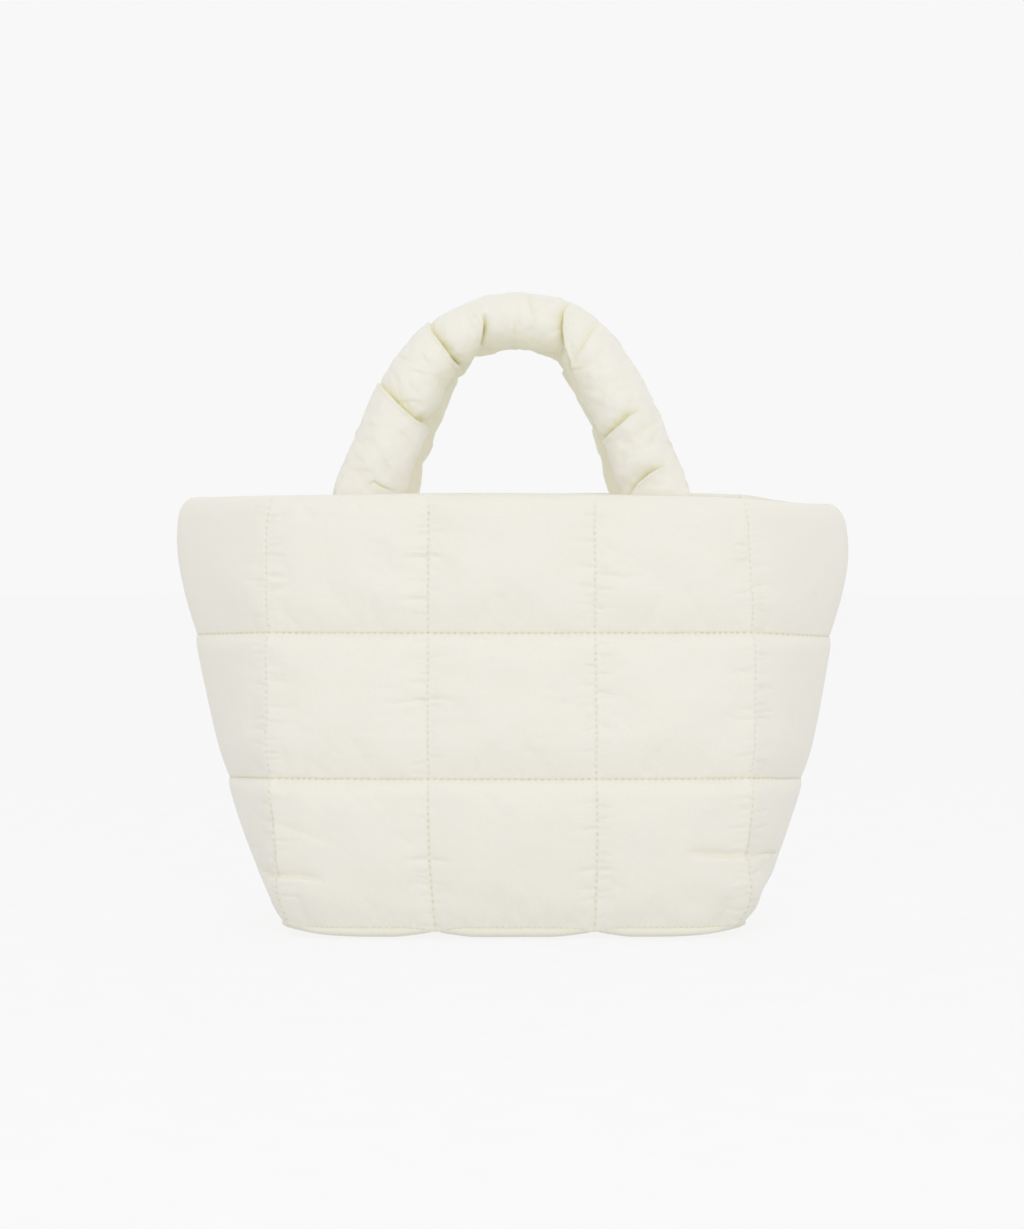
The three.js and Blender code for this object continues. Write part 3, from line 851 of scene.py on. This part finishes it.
def seam_marks(panel, along, levels):
    """How far seams and needle holes draw in the cloth of a panel, and how much painted shade they take."""
    seams = panel.seam_places()
    u, z = np.meshgrid(along, levels)
    upright_away = nearest(u, seams)
    level_away = nearest(z, LEVEL_SEAMS)
    by_level_hole = hump(nearest(levels, needle_places(LEVEL_STOPS)), NEEDLE_HALF)[:, None]
    by_upright_hole = hump(nearest(along, needle_places(seams)), NEEDLE_HALF)[None, :]
    upright_needle = by_level_hole * hump(upright_away, NEEDLE_HALF)
    level_needle = by_upright_hole * hump(level_away, NEEDLE_HALF)
    upright_groove = hump(upright_away, GROOVE_HALF)
    level_groove = hump(level_away, GROOVE_HALF)

    needle = np.maximum(upright_needle, level_needle)
    needle *= 1 - (1 - CORNER_NEEDLE_SHARE) * hump(panel.half_length - np.abs(u), NEEDLE_HALF)
    groove = np.maximum(upright_groove, level_groove)
    above_base = smoothstep(z, BASE_SEAM, BASE_SEAM + STITCH)
    drawn_in = BASE_SEAM_SHARE + (1 - BASE_SEAM_SHARE) * above_base
    depth = drawn_in * (GROOVE_DEPTH * groove + NEEDLE_DEPTH * needle)

    # Painted shade in grooves and needle holes, deeper at the base seam and fainter on upright seams higher
    # up
    base_share = 1 + (BASE_SEAM_PAINTED_SHADE_SHARE - 1) * (1 - above_base)
    upright_share = 1 - (1 - UPRIGHT_PAINTED_SHADE_SHARE) * smoothstep(z, LOWER_SEAM - UPRIGHT_PAINTED_SHADE_RISE, LOWER_SEAM)
    painted_shade = np.maximum(
        base_share * (GROOVE_PAINTED_SHADE * level_groove + NEEDLE_PAINTED_SHADE * level_needle),
        upright_share * (GROOVE_PAINTED_SHADE * upright_groove + NEEDLE_PAINTED_SHADE * upright_needle),
    )
    return depth, painted_shade


def panel_cover(panel, material):
    """One padded panel of the wall, with its seams, needle holes, puckers and folds."""
    seams = panel.seam_places()
    along = grid_places(seams, panel.steps_across)
    levels = grid_places(LEVEL_STOPS, panel.steps_up)
    u, z = np.meshgrid(along, levels)
    sheet = sewn_sheet(panel, u, z)
    depth, crease = seam_marks(panel, along, levels)
    depth += pucker_depths(panel, along, levels)
    loose = sheet.padding * smoothstep(nearest(u, seams), 0, LOOSE_SIDE_RISE)
    loose *= smoothstep(z, BASE_SEAM, BASE_SEAM + LOOSE_RISE)
    depth -= LOOSE_SWELL * loose * undulation(u, z, panel.seed, LOOSE_WAVE)
    front_share = smoothstep(-sheet.plan[..., 1], 0, WALL_FOLD_FRONT)
    slid = np.zeros((*u.shape, 2))
    for fold in WALL_FOLDS:
        pull, slide, sharp = fold_effect(fold, sheet.plan[..., 0], sheet.height)
        depth += front_share * pull
        slid += front_share[..., None] * slide
        # Painted shade in the folds of the wall
        crease = np.maximum(crease, WALL_FOLD_PAINTED_SHADE * front_share * sharp)
    outer = sheet.points(sheet.outer - depth * sheet.roll)
    outer[..., [0, 2]] += slid
    outer += settled_moves(panel, along, levels)

    kept_rows = kept_places(len(levels), INNER_ROW_STEP)
    kept_columns = kept_places(len(along), INNER_COLUMN_STEP)
    inner = sheet.points(sheet.inner)[np.ix_(kept_rows[:-1], kept_columns)]
    cloth = np.stack([u, z, np.zeros_like(u)], -1)
    inner_cloth = cloth[np.ix_(kept_rows[:-1], kept_columns)]
    points = np.concatenate([outer.reshape(-1, 3), inner.reshape(-1, 3)])
    cloth_places = np.concatenate([cloth.reshape(-1, 3), inner_cloth.reshape(-1, 3)])
    # Painted shade of seams and folds on the outer sheet, none on the inner one
    crease_shades = np.concatenate([crease.ravel(), np.zeros(len(points) - crease.size)])
    faces, smooth_faces = joined_faces(u.shape, kept_rows, kept_columns)
    piece = make_piece(panel.name, points, faces, material, cloth_places, crease_shades, smooth_faces)
    attach(piece, panel.node)


# Base

def base_border(panel, share):
    """The lower outer edge of a panel of the wall, at shares from -1 to 1 along it."""
    sheet = sewn_sheet(panel, share * panel.half_length, np.full(share.shape, BASE_SEAM))
    return sheet.points(sheet.outer)


def shares(line):
    return (line - line[0]) / (line[-1] - line[0])


def base_sheet(across, deep):
    """The base as a plain sheet between the lower edges of the wall, at shares across it and deep."""
    front = base_border(FRONT, across)
    back = base_border(BACK, -across)
    right = base_border(RIGHT, deep)
    left = base_border(LEFT, -deep)
    s = (1 + across[None, :]) / 2
    t = (1 + deep[:, None]) / 2
    x_share = (1 - t) * shares(front[:, 0]) + t * shares(back[:, 0])
    y_share = (1 - s) * shares(left[:, 1])[:, None] + s * shares(right[:, 1])[:, None]
    x = left[:, None, 0] * (1 - x_share) + right[:, None, 0] * x_share
    y = front[:, 1] * (1 - y_share) + back[:, 1] * y_share
    z = (1 - t) * front[:, 2] + t * back[:, 2] + (1 - s) * left[:, None, 2] + s * right[:, None, 2]
    z -= (1 - t) * ((1 - s) * front[0, 2] + s * front[-1, 2]) + t * ((1 - s) * back[0, 2] + s * back[-1, 2])
    return np.stack([x, y, z], -1)


def base_cover(material):
    """The padded base with its three columns of squares."""
    across = grid_places(FRONT.seam_places(), BASE_STEPS) / FRONT.half_length
    deep = np.sin(np.linspace(-np.pi / 2, np.pi / 2, BASE_ROWS))
    edge = base_sheet(across, deep)
    from_side = np.minimum(edge[..., 0] - edge[:, :1, 0], edge[:, -1:, 0] - edge[..., 0])
    from_front = np.minimum(edge[..., 1] - edge[:1, :, 1], edge[-1:, :, 1] - edge[..., 1])
    from_both = np.stack([from_side, from_front], -1)
    from_edge = from_both.min(-1)
    from_seam = nearest(across, COLUMNS[1:-1])[None, :] * FRONT.half_length * np.ones_like(from_edge)

    side_fullness = (1 - (1 - np.clip(from_side / BASE_SQUARE_RISE, 0, 1)) ** 2) ** BASE_SIDE_CURVE
    sewn = 1 - BASE_SEAM_PULL * (1 - np.clip(from_seam / BASE_SEAM_RISE, 0, 1)) ** 2
    outside, drop = np.moveaxis(table_at(BASE_EDGE, from_both), -1, 0)
    hang = np.minimum(drop[..., 0], drop[..., 1])
    hang = np.where(hang > 0, np.minimum(hang, drop[..., 1] * side_fullness * sewn), hang)
    bottom = np.maximum(FLOOR_GAP, edge[..., 2] - hang)
    pillow = BASE_PILLOW_ABOVE * swell(from_edge - BASE_TOP_START, BASE_TOP_RISE) * sewn
    top = edge[..., 2] + BASE_LIP + pillow
    corner_share = smoothstep(from_both[..., ::-1], 0, BASE_CORNER)
    bulge = np.where(from_both < BASE_EDGE[-1, 0], outside + from_both, 0) * corner_share * sewn[..., None]
    outward = np.sign(edge[..., :2])
    under = edge[..., :2] + outward * bulge
    over = edge[..., :2] - outward * BASE_LIP * hump(from_both, BASE_CORNER)

    points = np.concatenate([
        np.concatenate([over, top[..., None]], -1).reshape(-1, 3),
        np.concatenate([under, bottom[..., None]], -1).reshape(-1, 3),
    ])
    grid = np.arange(top.size).reshape(top.shape)
    loop = np.concatenate([grid[0, :-1], grid[:-1, -1], grid[-1, :0:-1], grid[:0:-1, 0]])
    onward = np.roll(loop, -1)
    quads = np.concatenate([
        grid_quads(grid),
        grid_quads(grid + top.size, inward=True),
        np.stack([loop, loop + top.size, onward + top.size, onward], -1),
    ])
    cloth = np.tile(np.concatenate([edge[..., :2], np.zeros((*top.shape, 1))], -1).reshape(-1, 3), (2, 1))
    # Painted shade: a little over the whole base, which sits in the wall's shade, and more in its seams and
    # along its edge
    seam_painted_shade = BASE_SEAM_PAINTED_SHADE * np.maximum(hump(from_seam, BASE_SEAM_HALF), hump(from_edge, BASE_EDGE_HALF))
    crease = np.tile(np.maximum(BASE_PAINTED_SHADE, seam_painted_shade).ravel(), 2)
    piece = make_piece("base_cover", points, quads.tolist(), material, cloth, crease)
    attach(piece, "base_panel")


# Handles

# Places at which the path is measured, and at which the rings' spacing is
PATH_STEPS = 2000
RING_STEPS = 4000
# Share of the rings' spacing beside a pinch, and how far along that is felt
CLOSE_RING_SHARE = 0.4
CLOSE_RING_REACH = 11.0
# Radius that the cloth round a handle is measured with, and the largest share of the tube that folds take
GIRTH_RADIUS = 15.0
DEEPEST_PULL = 0.55
# Unevenness of the stuffing: size and length
HANDLE_WAVES = ((0.22, 17), (0.12, 7))
# Painted shade, warm, on the side of the back handle that faces the front one, where light comes only by way
# of other cloth, and where it starts and is full, on a scale from -1 on the opposite side to 1 on that side
GAP_PAINTED_SHADE = 0.2
GAP_FACING = (-0.5, 0.5)
# The same painted shade under the arch of each handle, where it also starts and is full between two heights
ARCH_PAINTED_SHADE = 0.28
ARCH_FACING = (0.2, 0.9)
ARCH_HEIGHTS = (255.0, 290.0)
# Small wrinkles: how many, the part of the handle that is free of them at each end, one in so many, how far
# across the handle and how far from straight across they lie, and the range of their half lengths,
# depths, soft and sharp sides, with their lip
WRINKLES = 80
WRINKLE_FREE_PART = 8
WRINKLE_ACROSS = 0.8
WRINKLE_LEAN = 0.9
WRINKLE_HALVES = (3, 9)
WRINKLE_DEPTHS = (0.25, 0.75)
WRINKLE_SOFT = (1.5, 3.5)
WRINKLE_SHARP = (0.7, 1.3)
WRINKLE_LIP = 0.1


class Tube(NamedTuple):
    """A handle's tube, ring by ring: how far along it is, its middle, its half sizes, the ways along it, out
    of the arch and to the back, and where along it the pinches are."""
    ahead: np.ndarray
    middle: np.ndarray
    half_width: np.ndarray
    half_depth: np.ndarray
    forward: np.ndarray
    outward: np.ndarray
    depthwise: np.ndarray
    pinch_places: np.ndarray


def ring_places(length, pinches, spacing):
    """Places along a handle, closer together beside its pinches."""
    walk = np.linspace(0, length, RING_STEPS)
    step = spacing * (1 - (1 - CLOSE_RING_SHARE) * hump(nearest(walk, pinches), CLOSE_RING_REACH))
    count = np.concatenate([[0], np.cumsum(np.diff(walk) / step[1:])])
    return np.interp(np.linspace(0, count[-1], round(count[-1]) + 1), count, walk)


def handle_tube(pinches, spacing):
    """The tube along the front handle's path."""
    rows = np.arange(len(HANDLE_PATH))
    dense = np.linspace(0, rows[-1], PATH_STEPS)
    walk = smooth_between(rows, HANDLE_PATH[:, :3], dense)
    travelled = np.concatenate([[0], np.cumsum(np.linalg.norm(np.diff(walk, axis=0), axis=1))])
    pinch_places = np.interp([pinch[0] for pinch in pinches], dense, travelled)
    ahead = ring_places(travelled[-1], pinch_places, spacing)
    row = np.interp(ahead, travelled, dense)
    middle = smooth_between(rows, HANDLE_PATH[:, :3], row)
    half_width, half_depth = smooth_between(rows, HANDLE_PATH[:, 3:], row).T
    forward = np.gradient(middle, axis=0)
    forward /= np.linalg.norm(forward, axis=1, keepdims=True)
    depthwise = np.array([0, 1, 0]) - forward * forward[:, 1:2]
    depthwise /= np.linalg.norm(depthwise, axis=1, keepdims=True)
    outward = np.cross(forward, depthwise)
    return Tube(ahead, middle, half_width, half_depth, forward, outward, depthwise, pinch_places)


def pinched_points(tube, pinches, angle):
    """The points of a tube, a row for each ring, drawn in at its pinches."""
    outerness = (1 + np.cos(angle)) / 2
    radius_share = np.ones((len(tube.ahead), angle.size))
    lead = np.zeros(radius_share.shape)
    for (_, depth, outer_share, slant), place in zip(pinches, tube.pinch_places):
        distance = np.abs(tube.ahead - place)
        hold = np.clip(1 - distance / PINCH_RISE, 0, 1)[:, None] ** 2
        radius_share = radius_share - hold * depth * (1 + (outer_share - 1) * outerness)
        lead = lead + hold * slant * np.cos(angle)
    return (
        tube.middle[:, None]
        + tube.outward[:, None] * (tube.half_width[:, None] * radius_share * np.cos(angle))[..., None]
        + tube.depthwise[:, None] * (tube.half_depth[:, None] * radius_share * np.sin(angle))[..., None]
        + tube.forward[:, None] * lead[..., None]
    )


def small_wrinkles(tube, seed):
    """Short faint folds at random places on a handle, mostly across it."""
    draw = np.random.default_rng(seed)
    count = len(tube.middle)
    folds = []
    for _ in range(WRINKLES):
        ring = draw.integers(count // WRINKLE_FREE_PART, count * (WRINKLE_FREE_PART - 1) // WRINKLE_FREE_PART)
        aside = tube.half_width[ring] * draw.uniform(-WRINKLE_ACROSS, WRINKLE_ACROSS)
        centre = tube.middle[ring] + tube.outward[ring] * aside
        lean = draw.uniform(-WRINKLE_LEAN, WRINKLE_LEAN)
        way = tube.outward[ring] * math.cos(lean) + tube.forward[ring] * math.sin(lean)
        half = way * draw.uniform(*WRINKLE_HALVES)
        ends = tuple((point[0], point[2]) for point in (centre - half, centre, centre + half))
        depth = draw.uniform(*WRINKLE_DEPTHS)
        soft = draw.uniform(*WRINKLE_SOFT)
        folds.append(Fold(ends, depth, soft, draw.uniform(*WRINKLE_SHARP), WRINKLE_LIP))
    return folds


def back_folds():
    """The front handle's folds from right to left, softened for the back handle."""
    return tuple(fold._replace(
        points=tuple((-x, z) for x, z in fold.points[::-1]),
        depth=BACK_FOLD_DEPTH * fold.depth,
        lip=0,
        tuck=0,
        start=BACK_FOLD_END * fold.end,
        end=BACK_FOLD_END * fold.start,
    ) for fold in HANDLE_FOLDS)


def to_the_back(points):
    """The points of the front handle's tube, moved to where the back handle is."""
    points = points * np.array([BACK_HANDLE_WIDTH_SHARE, -1, 1]) + np.array([BACK_HANDLE_SHIFT, 0, 0])
    up_share = smoothstep(points[..., 2], RIM_HEIGHT, BACK_HANDLE_FOOT_TOP)
    points[..., 0] *= 1 - BACK_HANDLE_FOOT_SHARE * (1 - up_share)
    points[..., 2] += BACK_HANDLE_RISE * up_share
    return points


def handle_cover(handle, material):
    """A stuffed cloth tube, pinched and folded where it bends."""
    pinches = BACK_HANDLE_PINCHES if handle.behind else HANDLE_PINCHES
    folds = back_folds() if handle.behind else HANDLE_FOLDS
    tube = handle_tube(pinches, handle.ring_spacing)
    angle = np.linspace(0, 2 * np.pi, handle.sides, endpoint=False)[None, :]
    points = pinched_points(tube, pinches, angle)

    pull = np.zeros(points.shape[:2])
    slid = np.zeros((*pull.shape, 2))
    # Painted shade in the handle's folds and wrinkles
    crease = np.zeros(pull.shape)
    facing = FOLD_BEHIND + (1 - FOLD_BEHIND) * smoothstep(-np.sin(angle), *FOLD_FACING)
    for fold in (*folds, *small_wrinkles(tube, handle.seed)):
        depth, slide, sharp = fold_effect(fold, points[..., 0], points[..., 2])
        pull += facing * depth
        slid += facing[..., None] * slide
        crease = np.maximum(crease, facing * sharp)
    # Painted shade on the back handle's side that faces the front one, and under the arch of each handle
    if handle.behind:
        crease = np.maximum(crease, GAP_PAINTED_SHADE * smoothstep(np.sin(angle), *GAP_FACING))
    under_arch = smoothstep(-np.cos(angle), *ARCH_FACING) * smoothstep(tube.middle[:, 2:], *ARCH_HEIGHTS)
    crease = np.maximum(crease, ARCH_PAINTED_SHADE * under_arch)
    ahead = tube.ahead[:, None]
    girth = angle * GIRTH_RADIUS
    pull += sum(
        size * undulation(ahead, girth, handle.seed + number, wavelength)
        for number, (size, wavelength) in enumerate(HANDLE_WAVES)
    )
    pull = np.minimum(pull, DEEPEST_PULL * np.minimum(tube.half_depth, tube.half_width)[:, None])
    radial = points - tube.middle[:, None]
    radial /= np.linalg.norm(radial, axis=-1, keepdims=True)
    points = points - radial * pull[..., None]
    points[..., [0, 2]] += slid

    grid = np.arange(pull.size).reshape(pull.shape)
    beside = np.roll(grid, -1, axis=1)
    quads = np.stack([grid[:-1], grid[1:], beside[1:], beside[:-1]], -1).reshape(-1, 4)
    faces = [*quads.tolist(), grid[0].tolist(), grid[-1, ::-1].tolist()]
    if handle.behind:
        points = to_the_back(points)
        faces = [face[::-1] for face in faces]
    cloth = np.stack([np.broadcast_to(v, grid.shape) for v in (ahead, girth, 0 * girth)], -1).reshape(-1, 3)
    piece = make_piece(handle.name, points.reshape(-1, 3), faces, material, cloth, crease.ravel())
    attach(piece, handle.node)


# Stitches

# Half the thread's width, the share of a stitch's length that shows, and how deep it lies in its groove
THREAD_HALF = 0.28
THREAD_LENGTH_SHARE = 0.78
THREAD_SUNK = 0.3
# Needle holes closer to the rim than this have no thread
BARE_RIM = 1.0
# Points round a thread, and its rings: place from end to end, share of the width
THREAD_SIDES = 6
THREAD_RINGS = ((-1.0, 0.35), (-0.8, 0.85), (0.0, 1.0), (0.8, 0.85), (1.0, 0.35))


def thread_shape():
    """Points and faces of one stitch, two units long, with a girth of one unit round its middle."""
    angle = np.linspace(0, 2 * np.pi, THREAD_SIDES, endpoint=False)
    rings = [np.stack([np.full(THREAD_SIDES, at), share * np.cos(angle), share * np.sin(angle)], -1)
             for at, share in THREAD_RINGS]
    grid = np.arange(len(rings) * THREAD_SIDES).reshape(len(rings), -1)
    beside = np.roll(grid, -1, axis=1)
    quads = np.stack([grid[:-1], beside[:-1], beside[1:], grid[1:]], -1).reshape(-1, 4).tolist()
    return np.concatenate(rings), quads + [grid[0, ::-1].tolist(), grid[-1].tolist()]


def seam_runs(panel):
    """The seams of a panel, each as the needle holes along it: distances along the panel and levels."""
    seams = panel.seam_places()
    upright = needle_places(LEVEL_STOPS)
    upright = upright[upright < RIM_HEIGHT - BARE_RIM]
    level = needle_places(seams)
    columns = seams if panel.folded else seams[1:-1]
    runs = [(np.full(upright.shape, seam), upright) for seam in columns]
    return runs + [(level, np.full(level.shape, seam)) for seam in LEVEL_SEAMS]


def stitches(panel, material):
    """The thread on all seams of a panel, as one piece."""
    shape, shape_faces = thread_shape()
    points = []
    for along, z in seam_runs(panel):
        sheet = sewn_sheet(panel, along, z)
        holes = sheet.points(sheet.outer - THREAD_SUNK)
        step = holes[1:] - holes[:-1]
        length = np.linalg.norm(step, axis=1, keepdims=True)
        ahead = step / length
        out = np.concatenate([sheet.out, np.zeros((len(along), 1))], 1)
        out = (out[1:] + out[:-1]) / 2
        sideways = np.cross(out, ahead)
        middle = (holes[1:] + holes[:-1]) / 2
        half = THREAD_LENGTH_SHARE * length / 2
        points.append(
            middle[:, None]
            + (ahead * half)[:, None] * shape[None, :, 0:1]
            + (sideways * THREAD_HALF)[:, None] * shape[None, :, 1:2]
            + (out * THREAD_HALF)[:, None] * shape[None, :, 2:3]
        )
    points = np.concatenate(points)
    faces = [
        [corner + first * len(shape) for corner in face]
        for first in range(len(points))
        for face in shape_faces
    ]
    piece = make_piece(panel.name.replace("cover", "stitches"), points.reshape(-1, 3), faces, material)
    attach(piece)


# Materials

# Two shades that the cloth varies between, and the painted shade down in seams and creases
CLOTH_SHADES = ((0.943, 0.919, 0.820, 1), (0.953, 0.932, 0.846, 1))
PAINTED_CREASE_SHADE = (0.77, 0.745, 0.38, 1)
THREAD_SHADES = ((0.92, 0.90, 0.78, 1), (0.95, 0.935, 0.84, 1))
# Share of the colour that thick and thin threads change, and the roughness that they vary between
SLUB_SHARE = 0.05
CLOTH_ROUGHNESS = (0.55, 0.7)
# Distance between two threads of the weave that run the same way and lie on the same side
WEAVE_PITCH = 0.62


class Nodes:
    """Short calls for the nodes of one material or world."""

    def __init__(self, owner):
        owner.use_nodes = True
        self.tree = owner.node_tree
        self.tree.nodes.clear()

    def add(self, kind, settings=(), **inputs):
        node = self.tree.nodes.new("ShaderNode" + kind)
        for name, value in dict(settings).items():
            setattr(node, name, value)
        for name, value in inputs.items():
            socket = node.inputs[int(name[1:]) if name[0] == "_" else name.replace("_", " ")]
            if isinstance(value, bpy.types.NodeSocket):
                self.tree.links.new(value, socket)
            else:
                socket.default_value = value
        return node

    def mix(self, factor, first, second, blend="MIX"):
        """A colour between two colours or sockets."""
        settings = {"data_type": "RGBA", "blend_type": blend}
        return self.add("Mix", settings, Factor=factor, _6=first, _7=second).outputs[2]


def cloth_material():
    """Ivory woven cloth: a fine plain weave, faint mottling, and painted shade, warm and dark, down in seams
    and creases.
    """
    material = bpy.data.materials.new("ivory_cloth")
    nodes = Nodes(material)
    place = nodes.add("Attribute", {"attribute_name": "cloth_mm"}).outputs["Vector"]
    crease = nodes.add("Attribute", {"attribute_name": "crease"}).outputs["Fac"]
    mottle = nodes.add("TexNoise", Vector=place, Scale=0.035, Detail=3.0, Roughness=0.6).outputs["Fac"]
    slub = nodes.add("TexNoise", Vector=place, Scale=0.9, Detail=2.0, Roughness=0.5).outputs["Fac"]
    slubbed = nodes.mix(SLUB_SHARE, nodes.mix(mottle, *CLOTH_SHADES), slub, "MULTIPLY")
    # Painted shade, warm and dark, wherever the crease attribute is set
    with_painted_shade = nodes.mix(crease, slubbed, PAINTED_CREASE_SHADE)

    turns = 2 * math.pi / WEAVE_PITCH
    threads = nodes.add("VectorMath", {"operation": "SCALE"}, _0=place, Scale=turns).outputs["Vector"]
    ways = nodes.add("SeparateXYZ", Vector=threads).outputs
    warp = nodes.add("Math", {"operation": "SINE"}, _0=ways["X"]).outputs[0]
    weft = nodes.add("Math", {"operation": "SINE"}, _0=ways["Y"]).outputs[0]
    weave = nodes.add("Math", {"operation": "MULTIPLY"}, _0=warp, _1=weft).outputs[0]
    crinkle = nodes.add("TexNoise", Vector=place, Scale=0.22, Detail=4.0, Roughness=0.55).outputs["Fac"]
    crinkled = nodes.add("Bump", Strength=0.25, Distance=0.0006, Height=crinkle).outputs["Normal"]
    woven = nodes.add("Bump", Strength=0.12, Distance=0.0001, Height=weave, Normal=crinkled).outputs["Normal"]
    smoothest, roughest = CLOTH_ROUGHNESS
    rough = nodes.add("MapRange", Value=slub, _3=smoothest, _4=roughest).outputs[0]
    shader = nodes.add(
        "BsdfPrincipled", Base_Color=with_painted_shade, Roughness=rough, Normal=woven, Sheen_Weight=0.25,
        Sheen_Roughness=0.45, Specular_IOR_Level=0.7,
    )
    nodes.add("OutputMaterial", Surface=shader.outputs[0])
    return material


def thread_material():
    """Sewing thread in the colour of the cloth, a little warmer."""
    material = bpy.data.materials.new("ivory_thread")
    nodes = Nodes(material)
    place = nodes.add("TexCoord").outputs["Object"]
    twist = nodes.add("TexWave", Vector=place, Scale=900.0, Distortion=1.5).outputs["Fac"]
    colour = nodes.mix(twist, *THREAD_SHADES)
    bump = nodes.add("Bump", Strength=0.2, Distance=0.0001, Height=twist).outputs["Normal"]
    shader = nodes.add("BsdfPrincipled", Base_Color=colour, Roughness=0.6, Normal=bump, Sheen_Weight=0.1)
    nodes.add("OutputMaterial", Surface=shader.outputs[0])
    return material


# Studio

# What the camera sees of the room, and the round floor: sides, radius and place just below the bag, in metres
BACKGROUND = 0.939
FLOOR_SIDES = 96
FLOOR_RADIUS = 6.0
FLOOR_PLACE = (0, 0, -0.0002)
# The room is white all round, and brightest behind the bag
ROOM_EVEN = 0.80
ROOM_BEHIND = 0.28
# A softbox above the camera, a little to the right: place and target in metres, side, and watts
SOFTBOX_PLACE = (0.08, -1.4, 1.0)
SOFTBOX_TARGET = (0.0, 0.0, 0.15)
SOFTBOX_SIDE = 1.4
SOFTBOX_WATTS = 8.0
# Light from inside the bag, as white paper stuffing would throw back: height, width, depth, and watts
STUFFING_HEIGHT = 0.17
STUFFING_WIDTH = 0.22
STUFFING_DEPTH = 0.05
STUFFING_WATTS = 0.03
# The floor's grey and glow for the light that it throws back, and where the camera sees it, and how far
# its grey varies
FLOOR_BOUNCE_GREY = 0.45
FLOOR_BOUNCE_GLOW = 0.36
FLOOR_SEEN_GREY = 0.10
FLOOR_SEEN_GLOW = 0.847
FLOOR_SPECKLE = 0.01


def floor_material():
    """Pale paper, lit from below, so that the shadow on it stays faint."""
    material = bpy.data.materials.new("pale_floor")
    nodes = Nodes(material)
    place = nodes.add("TexCoord").outputs["Object"]
    speckle = nodes.add("TexNoise", Vector=place, Scale=40.0, Detail=2.0).outputs["Fac"]
    shaders = []
    for grey, glow in ((FLOOR_BOUNCE_GREY, FLOOR_BOUNCE_GLOW), (FLOOR_SEEN_GREY, FLOOR_SEEN_GLOW)):
        darker, lighter = ((shade, shade, shade, 1) for shade in (grey - FLOOR_SPECKLE, grey + FLOOR_SPECKLE))
        shaders.append(nodes.add(
            "BsdfPrincipled", Base_Color=nodes.mix(speckle, darker, lighter), Roughness=0.95,
            Specular_IOR_Level=0.0, Emission_Color=(1, 1, 1, 1), Emission_Strength=glow,
        ).outputs[0])
    by_camera = nodes.add("LightPath").outputs["Is Camera Ray"]
    both = nodes.add("MixShader", _0=by_camera, _1=shaders[0], _2=shaders[1])
    nodes.add("OutputMaterial", Surface=both.outputs[0])
    return material


def make_floor():
    bpy.ops.mesh.primitive_circle_add(
        vertices=FLOOR_SIDES, radius=FLOOR_RADIUS, fill_type="NGON", location=FLOOR_PLACE,
    )
    floor = bpy.context.object
    floor.name = "floor"
    floor.data.materials.append(floor_material())


def look_from(thing, place, target):
    thing.location = place
    thing.rotation_euler = (Vector(target) - Vector(place)).to_track_quat("-Z", "Y").to_euler()


def area_light(name, width, depth, watts):
    light = bpy.data.objects.new(name, bpy.data.lights.new(name, "AREA"))
    bpy.context.scene.collection.objects.link(light)
    light.data.shape = "RECTANGLE"
    light.data.size = width
    light.data.size_y = depth
    light.data.energy = watts
    light.visible_camera = False
    return light


def make_light():
    """A white room that the camera sees as an even pale background, a softbox, and a glow inside the bag."""
    world = bpy.data.worlds.new("studio")
    bpy.context.scene.world = world
    nodes = Nodes(world)
    way = nodes.add("TexCoord").outputs["Generated"]
    behind = nodes.add("SeparateXYZ", Vector=way).outputs["Y"]
    brighter = {"operation": "MULTIPLY_ADD"}
    glow = nodes.add("Math", brighter, _0=behind, _1=ROOM_BEHIND, _2=ROOM_EVEN).outputs[0]
    lit = nodes.add("Background", Color=(1, 1, 1, 1), Strength=glow).outputs[0]
    seen = nodes.add("Background", Color=(1, 1, 1, 1), Strength=BACKGROUND).outputs[0]
    by_camera = nodes.add("LightPath").outputs["Is Camera Ray"]
    both = nodes.add("MixShader", _0=by_camera, _1=lit, _2=seen)
    nodes.add("OutputWorld", Surface=both.outputs[0])

    softbox = area_light("softbox", SOFTBOX_SIDE, SOFTBOX_SIDE, SOFTBOX_WATTS)
    look_from(softbox, SOFTBOX_PLACE, SOFTBOX_TARGET)
    stuffing = area_light("stuffing_glow", STUFFING_WIDTH, STUFFING_DEPTH, STUFFING_WATTS)
    stuffing.location = (0, 0, STUFFING_HEIGHT)
    stuffing.rotation_euler = (math.pi, 0, 0)


def make_camera():
    camera = bpy.data.objects.new("camera", bpy.data.cameras.new("camera"))
    bpy.context.scene.collection.objects.link(camera)
    camera.data.lens = CAMERA_LENS
    camera.data.sensor_width = CAMERA_SENSOR
    look_from(camera, CAMERA_PLACE, CAMERA_TARGET)
    bpy.context.scene.camera = camera


make_camera()
make_light()
make_floor()
bpy.context.scene.view_settings.view_transform = "Standard"

cloth = cloth_material()
thread = thread_material()
for panel in (FRONT, RIGHT, BACK, LEFT):
    panel_cover(panel, cloth)
    stitches(panel, thread)
base_cover(cloth)
for handle in (FRONT_HANDLE, BACK_HANDLE):
    handle_cover(handle, cloth)
